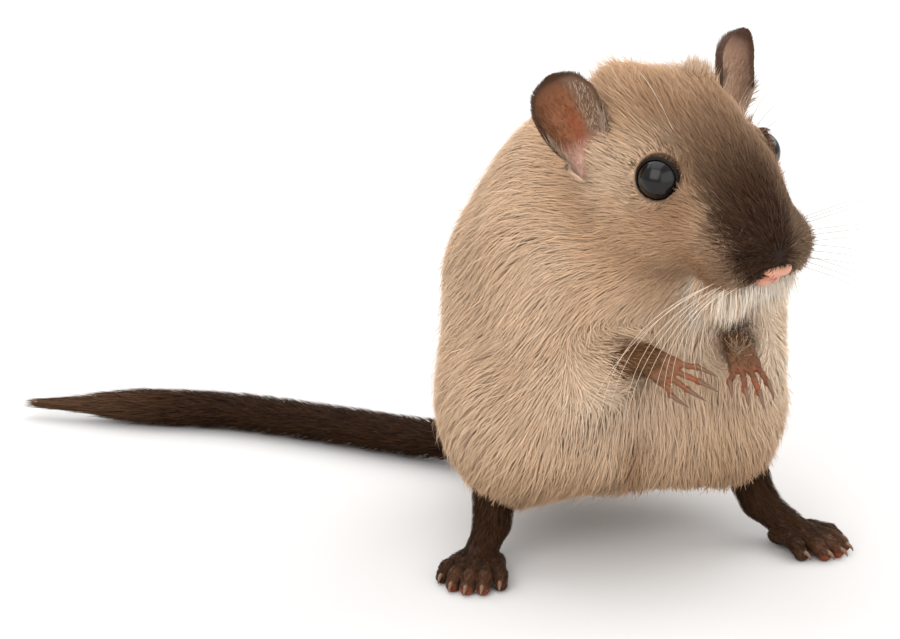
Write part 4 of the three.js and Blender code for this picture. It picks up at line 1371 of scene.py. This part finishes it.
def grow_ear_face(name, inside, corner):
    inner, outer, v, c, out, up = ear_sheet(name, EAR_GRID, EAR_GRID)
    number, last = EAR_TUFTS, EAR_GRID - 1.1
    row, column = rng.uniform(2, last, number), rng.uniform(0, last, number)
    i = row.astype(int) * EAR_GRID + column.astype(int)
    fr, fc = (row % 1)[:, None], (column % 1)[:, None]

    def at_place(data):
        here = data[i] * (1 - fc) + data[i + 1] * fc
        above = data[i + EAR_GRID] * (1 - fc) + data[i + EAR_GRID + 1] * fc
        return here * (1 - fr) + above * fr

    roots = at_place(inner if inside else outer)
    high, sideways = v[i], c[i]
    outward = unit(at_place(out)) * (-1 if inside else 1)
    edge = smooth(np.abs(sideways), 0.6, 0.95)
    rim = np.maximum(smooth(np.abs(sideways), 0.7, 0.95), smooth(high, 0.8, 0.95))
    length = about(1.0 - 0.7 * rim + 1.7 * inside * edge * (high < 0.55), 0.25, number)
    middle = at_place(inner).mean(0)
    side_way = unit(at_place(inner) - middle)
    way = unit(up + (0.5 if inside else 0.3) * side_way + 0.18 * rng.normal(size=(number, 3)))
    way = laid(way, outward)
    rise = 0.1 + 0.2 * rng.random(number)
    paths = [roots - outward * 0.05]
    for t in (0.5, 1):
        paths.append(roots + way * (length * t)[:, None] + outward * (rise * length * t**0.7)[:, None])
    colour = varied(ear_tint(high, sideways, name, inside), number, 0.14)
    kept = np.ones(number, bool)
    if inside:
        medial = -SIDES[name] * sideways
        pale = (rng.random(number) < 0.35) * smooth(medial, 0.1, 0.5) * (1 - rim) + 0.8 * edge * (high < 0.5)
        colour = mixed(colour, EAR_HAIR, pale)
        kept = rng.random(number) < 0.35 + 0.65 * smooth(np.abs(sideways), 0.1, 0.6)
    place = chart(high, (sideways + 1) / 2, corner, (0.22, 0.03))
    tufts = (np.stack(paths, 1)[kept], np.full(kept.sum(), 0.1), outward[kept])
    # Darker roots and paler tips: painted shade at the roots, painted highlight at the tips.
    shades = (colour[kept] * 0.85, colour[kept] * 1.12)
    coat_objects(f"coat_ear_{name}_{'in' if inside else 'out'}", "ear", *tufts, *shades, place[kept])


def grow_ear_tufts():
    """Upright tufts at the inner foot of each ear."""
    number = HANGING["coat_ear_tufts"][0]
    share = rng.random(number)[:, None]
    side = rng.choice((-1, 1), number, p=(0.2, 0.8))
    line = np.array([9.5, 11.5, 4.2]) * (1 - share) + np.array([5.4, 12.8, 7.2]) * share
    line = (line + 0.9 * rng.normal(size=(number, 3))) * flips(side)
    colour = mixed(BUFF, EAR_HAIR, rng.random(number) * (side > 0))
    hanging("coat_ear_tufts", of_head(line), HEAD @ [0, 0.2, 1], colour)


PAD_AT = np.array([4.5, -13.3, -4.9])  # middle of the left whisker pad


def grow_muzzle_fuzz():
    """Short tufts that stand out from the whisker pads."""
    number = HANGING["coat_muzzle"][0]
    side = rng.choice((-1, 1), number)
    out = np.abs(rng.normal(size=(number, 3))) * [1.2, 0.7, 0]
    out = unit(out + rng.normal(size=(number, 3)) * [0, 0.3, 0.7])
    out = out * [1, -1, 1] * flips(side)
    places = PAD_AT * flips(side) + 5 * out
    tilt = (0.9 * out + [0, 0.4, -0.15]) @ HEAD.T
    colour = mixed(markings(of_head(places)), UMBER, 0.5 * rng.random(number))
    hanging("coat_muzzle", of_head(places), tilt, colour)


LID_HAIRS = 2200


def grow_lid_hair():
    """Short brown hair over the outer wall of the lids."""
    number = LID_HAIRS
    flip = flips(rng.choice((-1, 1), number))
    one = unit(np.cross(EYE_LOOKS, [0, 0, 1.0]))
    two = unit(np.cross(EYE_LOOKS, np.cross(EYE_LOOKS, [0, 0, 1.0])))
    turn = rng.uniform(0, 2 * math.pi, number)
    ring = ring_of(one, two, turn)
    start = np.radians(rng.uniform(70, 98, number))
    paths = []
    for step, reach in ((0, 3.3), (0.16, 3.46), (0.34, 3.58)):
        angle = (start + step)[:, None]
        place = EYE_AT + reach * (np.sin(angle) * ring + np.cos(angle) * EYE_LOOKS)
        paths.append(of_head(place * flip))
    outward = unit(ring + 0.6 * EYE_LOOKS) * flip @ HEAD.T
    colour = varied(mixed(SABLE, UMBER, 0.6 * rng.random(number)), number, 0.1)
    widths = rng.uniform(0.05, 0.08, number)
    place = chart(turn / 7, start, (0.55, 0.74), (0.08, 0.02))
    # Roots darker than tips: painted shade where the hairs leave the lid.
    coat_objects("coat_lids", "head_coat", np.stack(paths, 1), widths, outward, colour * 0.8, colour, place)


grow_coat("coat_trunk", "coat", trunk_part, 1)
grow_coat("coat_head", "head_coat", head_part, -1)
grow_chin()
grow_beard()
grow_cuffs()
grow_breast()
grow_tail()
for name, at_left in zip(SIDES, (0.01, 0.25)):
    grow_hand(name, (at_left, 0.75))
for name, at_left in zip(SIDES, (0.5, 0.75)):
    grow_foot(name, (at_left, 0.75))
for name, inside_left, outside_left in (("right", 0.01, 0.25), ("left", 0.5, 0.74)):
    grow_ear_face(name, True, (inside_left, 0.965))
    grow_ear_face(name, False, (outside_left, 0.965))
grow_ear_tufts()
grow_muzzle_fuzz()
grow_lid_hair()


# ---- Eyes and lids ----

LID_PROFILE = (  # degrees from the eye's axis, distance from its centre
    (65, 3.19),
    (66, 3.26),
    (68, 3.32),
    (70, 3.36),
    (73, 3.36),
    (80, 3.33),
    (88, 3.29),
    (99, 3.22),
    (112, 3.12),
)
LID_INNER_RADIUS = 3.1
CORNEA_RISE = 0.06


def turned_profile(profile, sides, centre, axis):
    """A surface of revolution: points and quads from (radius, height) pairs about an axis."""
    axis = unit(axis)
    one = unit(np.cross(axis, [0.3, 0.2, 1.0]))
    ring = ring_of(one, np.cross(axis, one), full_turn(sides))
    profile = np.array(profile)
    points = centre + profile[:, 0, None, None] * ring + profile[:, 1, None, None] * axis
    return points.reshape(-1, 3), sheet_quads(len(profile), sides, closed=True)


def on_circle(radius, angle):
    return np.stack([radius * np.sin(angle), radius * np.cos(angle)], 1)


def make_eye(name, side):
    """An eyeball with a slight cornea, and the ring of its lids."""
    looks = mirrored(EYE_LOOKS, side) @ HEAD.T
    centre = of_head(mirrored(EYE_AT, side)) - EYE_SINKS[name] * looks
    angle = np.linspace(0.001, math.pi - 0.001, 48)
    bulge = EYE_RADIUS + CORNEA_RISE * np.exp(-((angle / 0.75) ** 2))
    points, faces = turned_profile(on_circle(bulge, angle) - [0, 0.02], 64, centre, looks)
    eye = mesh_object(f"eyeball_{name}", points, faces, EYE, "eye")
    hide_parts(f"eye_{name}")
    degrees, radii = np.array(LID_PROFILE).T
    lid = on_circle(radii, np.radians(degrees))
    inner = on_circle(LID_INNER_RADIUS, np.radians(degrees))[::-1]
    points, faces = turned_profile(np.vstack([lid, inner, lid[:1]]), 56, centre, looks)
    mesh_object(f"lid_{name}", points, faces, LID, "eye")


for name, side in SIDES.items():
    make_eye(name, side)


# ---- Nose ----


def nose_field(h):
    """The pad, its nostrils and the cleft lip under it, in the head's frame."""
    fold = folded(h)
    pad = melt(
        0.6,
        egg((0, -18.6, -4.5), (2.3, 1.4, 1.0)),
        egg((1.35, -18.3, -4.8), (1.45, 1.3, 1.05)),
        egg((0, -18.1, -6), (0.8, 1.1, 1.4)),
        egg((1.0, -17.6, -6.9), (1.1, 1.1, 1.0)),
    )(fold)
    nostril = egg((2.5, -19.2, -4.9), (0.7, 0.9, 0.3))(fold)
    cleft = egg((0, -19.5, -6.6), (0.22, 1.0, 1.5))(fold)
    return np.maximum(np.maximum(pad, -nostril), -cleft)


points, faces = block(nose_field, (-4, -21, -9.5), (4, -15, -2.5), NOSE_STEP)
red = 0.75 * np.exp(-(((points[:, 2] + 5.6) / 0.5) ** 2))
tint = layered(PINK, points, (ROSE, red), (UMBER, 0.8 * smooth(points[:, 2], -4.3, -3.6)))
nose = mesh_object("nose_pad", of_head(points), faces, WET, "nose", tint)
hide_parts("nose")


# ---- Claws and whiskers ----


def tube(points, radii, sides=6):
    """A closed tapered tube through points."""
    points = np.array(points, float)
    rows = len(points)
    ahead = unit(np.gradient(points, axis=0))
    one = unit(np.cross(ahead, [0.31, 0.2, 0.93]))
    two = np.cross(ahead, one)
    ring = ring_of(one[:, None], two[:, None], full_turn(sides))
    mesh = (points[:, None] + ring * np.array(radii)[:, None, None]).reshape(-1, 3)
    return mesh, sheet_quads(rows, sides, closed=True)[:, ::-1]


def bowed(a, b, c, rows):
    t = np.linspace(0, 1, rows)[:, None]
    return (1 - t) ** 2 * np.array(a) + 2 * t * (1 - t) * np.array(b) + t**2 * np.array(c)


def claw(name, a, b, c, radius, rows=14):
    radii = radius * (1 - 0.9 * np.linspace(0, 1, rows) ** 1.4)
    radii[0] = radii[-1] = 0.01
    points, faces = tube(bowed(a, b, c, rows), radii, 10)
    piece = mesh_object(f"nail_{name}", points, faces, CLAW, "claw")
    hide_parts(f"claw_{name}")


for name, arm in ARMS.items():
    at = hand_frame(arm)
    for i, (_, tip, length) in enumerate(FINGERS):
        bend = at(length + 1.5, tip * 1.08, 0.35)
        point = at(length + HAND_CLAWS[name], tip * 1.1, -0.6)
        claw(f"hand_{name}_{i + 1}", at(length - 1, tip, 0.1), bend, point, 0.38)
for name, leg in LEGS.items():
    at = foot_frame(leg)
    for i, (_, tip, _, length) in enumerate(TOES):
        bend = at(length + 0.7, tip * 1.03, 1.4)
        point = at(length + FOOT_CLAW, tip * 1.05, 0.45)
        claw(f"foot_{name}_{i + 1}", at(length - 0.8, tip, 1.4), bend, point, 0.4)


def whisker(root, bend, tip, radius, tone, rows=12):
    """One whisker from places in the head's frame."""
    mesh, faces = tube(of_head(bowed(root, bend, tip, rows)), np.linspace(radius, 0.015, rows), 5)
    return mesh, faces, layered(tone, mesh)


def whiskers():
    """Long pale whiskers that fall in a bow on the right; shorter, greyer ones held forward on the left."""
    parts = []
    aside = HEAD.T @ [-3.3, 0, 2.4]
    for i, share in enumerate(np.linspace(0, 1, 13)):
        around, up = math.radians(25 + 55 * share), math.radians(-50 + 12 * (i % 3))
        spread = [-math.cos(around) * math.cos(up), -math.sin(around) * math.cos(up), math.sin(up)]
        root = onto(head_only, mirrored(PAD_AT, -1) + 5 * np.array(spread))
        hangs = [-12.5 + 19 * share, -28.5, 29 + 5.5 * share - 4.6 * math.sin(math.pi * share)]
        tip = in_head(np.array(hangs) + rng.uniform(-1, 1, 3))
        bend = (root + tip) / 2 + rng.uniform(1.2, 1.8) * aside
        parts.append(whisker(root, bend, tip, 0.037, CREAM))
    for row in range(3):
        for column in range(4):
            root = onto(head_only, (6 - 0.4 * row, -15 - 1.4 * column, 0.4 - 1.4 * column - 0.9 * row))
            reach = np.array([8.9 + 0.6 * row, -4 - 0.9 * column + 0.4 * row, 5.6 - 2.6 * column - 0.6 * row])
            tip = root + reach * rng.uniform(0.85, 1.1)
            bend = (root + tip) / 2 + [0.4, -0.7, 0.9]
            parts.append(whisker(root, bend, tip, 0.035, WHISKER_GREY))
    # Lashes over the left eye and a guard hair over the crown.
    for i in range(4):
        root = onto(head_only, (8 + 0.5 * i, -1.5 + 1.6 * i, 5))
        tip = root + [2.4 + 0.4 * i, -1.4 + 1.4 * i, 3.6]
        parts.append(whisker(root, (root + tip) / 2 + [-0.2, 0.2, 0.5], tip, 0.04, WHISKER_GREY))
    parts.append(whisker(onto(head_only, (-5, 14, 7.6)), (-6.2, 9, 9.4), (-7.6, 1, 6.9), 0.035, CREAM))
    return parts


points, faces, tint = joined(whiskers())
mesh_object("whiskers", points, faces, WHISKER, "head_coat", tint)


# ---- Floor, light and camera ----

FLOOR_COLOUR = (0.63, 0.622, 0.615, 1)
FLOOR_HALF = 6.0  # metres
WORLD_COLOUR = (1, 0.995, 0.985, 1)
WORLD_STRENGTH = 0.62
LIGHTS = (  # name, place, target, size and power, in metres and watts
    ("key", (-0.31, -0.32, 0.36), (0, 0, 0.04), (0.5, 0.5), 1.9),
    ("fill", (0.24, -0.5, 0.13), (0, 0, 0.04), (0.7, 0.7), 2.0),
    ("overhead", (-0.05, 0.05, 0.68), (0, 0, 0.03), (0.6, 0.6), 1.8),
    ("rim", (0.36, 0.12, 0.34), (0.02, -0.02, 0.05), (0.4, 0.4), 1.3),
    ("backdrop", (-0.15, 0.6, 0.5), (-0.05, 0.35, 0), (0.9, 0.5), 3.0),
)


def stage():
    material = bpy.data.materials.new("floor")
    material.use_nodes = True
    shader = material.node_tree.nodes["Principled BSDF"]
    shader.inputs["Base Color"].default_value = FLOOR_COLOUR
    shader.inputs["Roughness"].default_value = 0.9
    mesh = bpy.data.meshes.new("floor")
    corners = [(x * FLOOR_HALF, y * FLOOR_HALF, 0) for x, y in ((-1, -1), (1, -1), (1, 1), (-1, 1))]
    mesh.from_pydata(corners, [], [(0, 1, 2, 3)])
    mesh.materials.append(material)
    floor = bpy.data.objects.new("floor", mesh)
    bpy.context.scene.collection.objects.link(floor)


def area_light(name, place, target, size, power):
    data = bpy.data.lights.new(name, "AREA")
    data.shape = "RECTANGLE"
    data.size, data.size_y = size
    data.energy = power
    light = bpy.data.objects.new(name, data)
    light.location = place
    light.rotation_euler = (Vector(target) - Vector(place)).to_track_quat("-Z", "Y").to_euler()
    bpy.context.scene.collection.objects.link(light)


def lights():
    world = bpy.data.worlds.new("studio")
    world.use_nodes = True
    background = world.node_tree.nodes["Background"]
    background.inputs["Color"].default_value = WORLD_COLOUR
    background.inputs["Strength"].default_value = WORLD_STRENGTH
    bpy.context.scene.world = world
    for light in LIGHTS:
        area_light(*light)


CAMERA_AZIMUTH, CAMERA_ELEVATION = -15, 18  # degrees
CAMERA_DISTANCE = 450
CAMERA_TARGET = np.array([-22.70, 6.08, 32.4])
CAMERA_LENS, CAMERA_SENSOR = 122.4, 36


def camera():
    azimuth, elevation = math.radians(CAMERA_AZIMUTH), math.radians(CAMERA_ELEVATION)
    ahead = np.array([
        -math.sin(azimuth) * math.cos(elevation),
        math.cos(azimuth) * math.cos(elevation),
        -math.sin(elevation),
    ])
    data = bpy.data.cameras.new("camera")
    data.sensor_width = CAMERA_SENSOR
    data.lens = CAMERA_LENS
    data.clip_start = 0.01
    data.clip_end = 50
    holder = bpy.data.objects.new("camera", data)
    holder.location = to_frame(CAMERA_TARGET - ahead * CAMERA_DISTANCE)
    holder.rotation_euler = Vector(ahead).to_track_quat("-Z", "Y").to_euler()
    bpy.context.scene.collection.objects.link(holder)
    bpy.context.scene.camera = holder


stage()
lights()
camera()
bpy.context.scene.view_settings.view_transform = "Standard"
bpy.context.scene.cycles.use_denoising = True
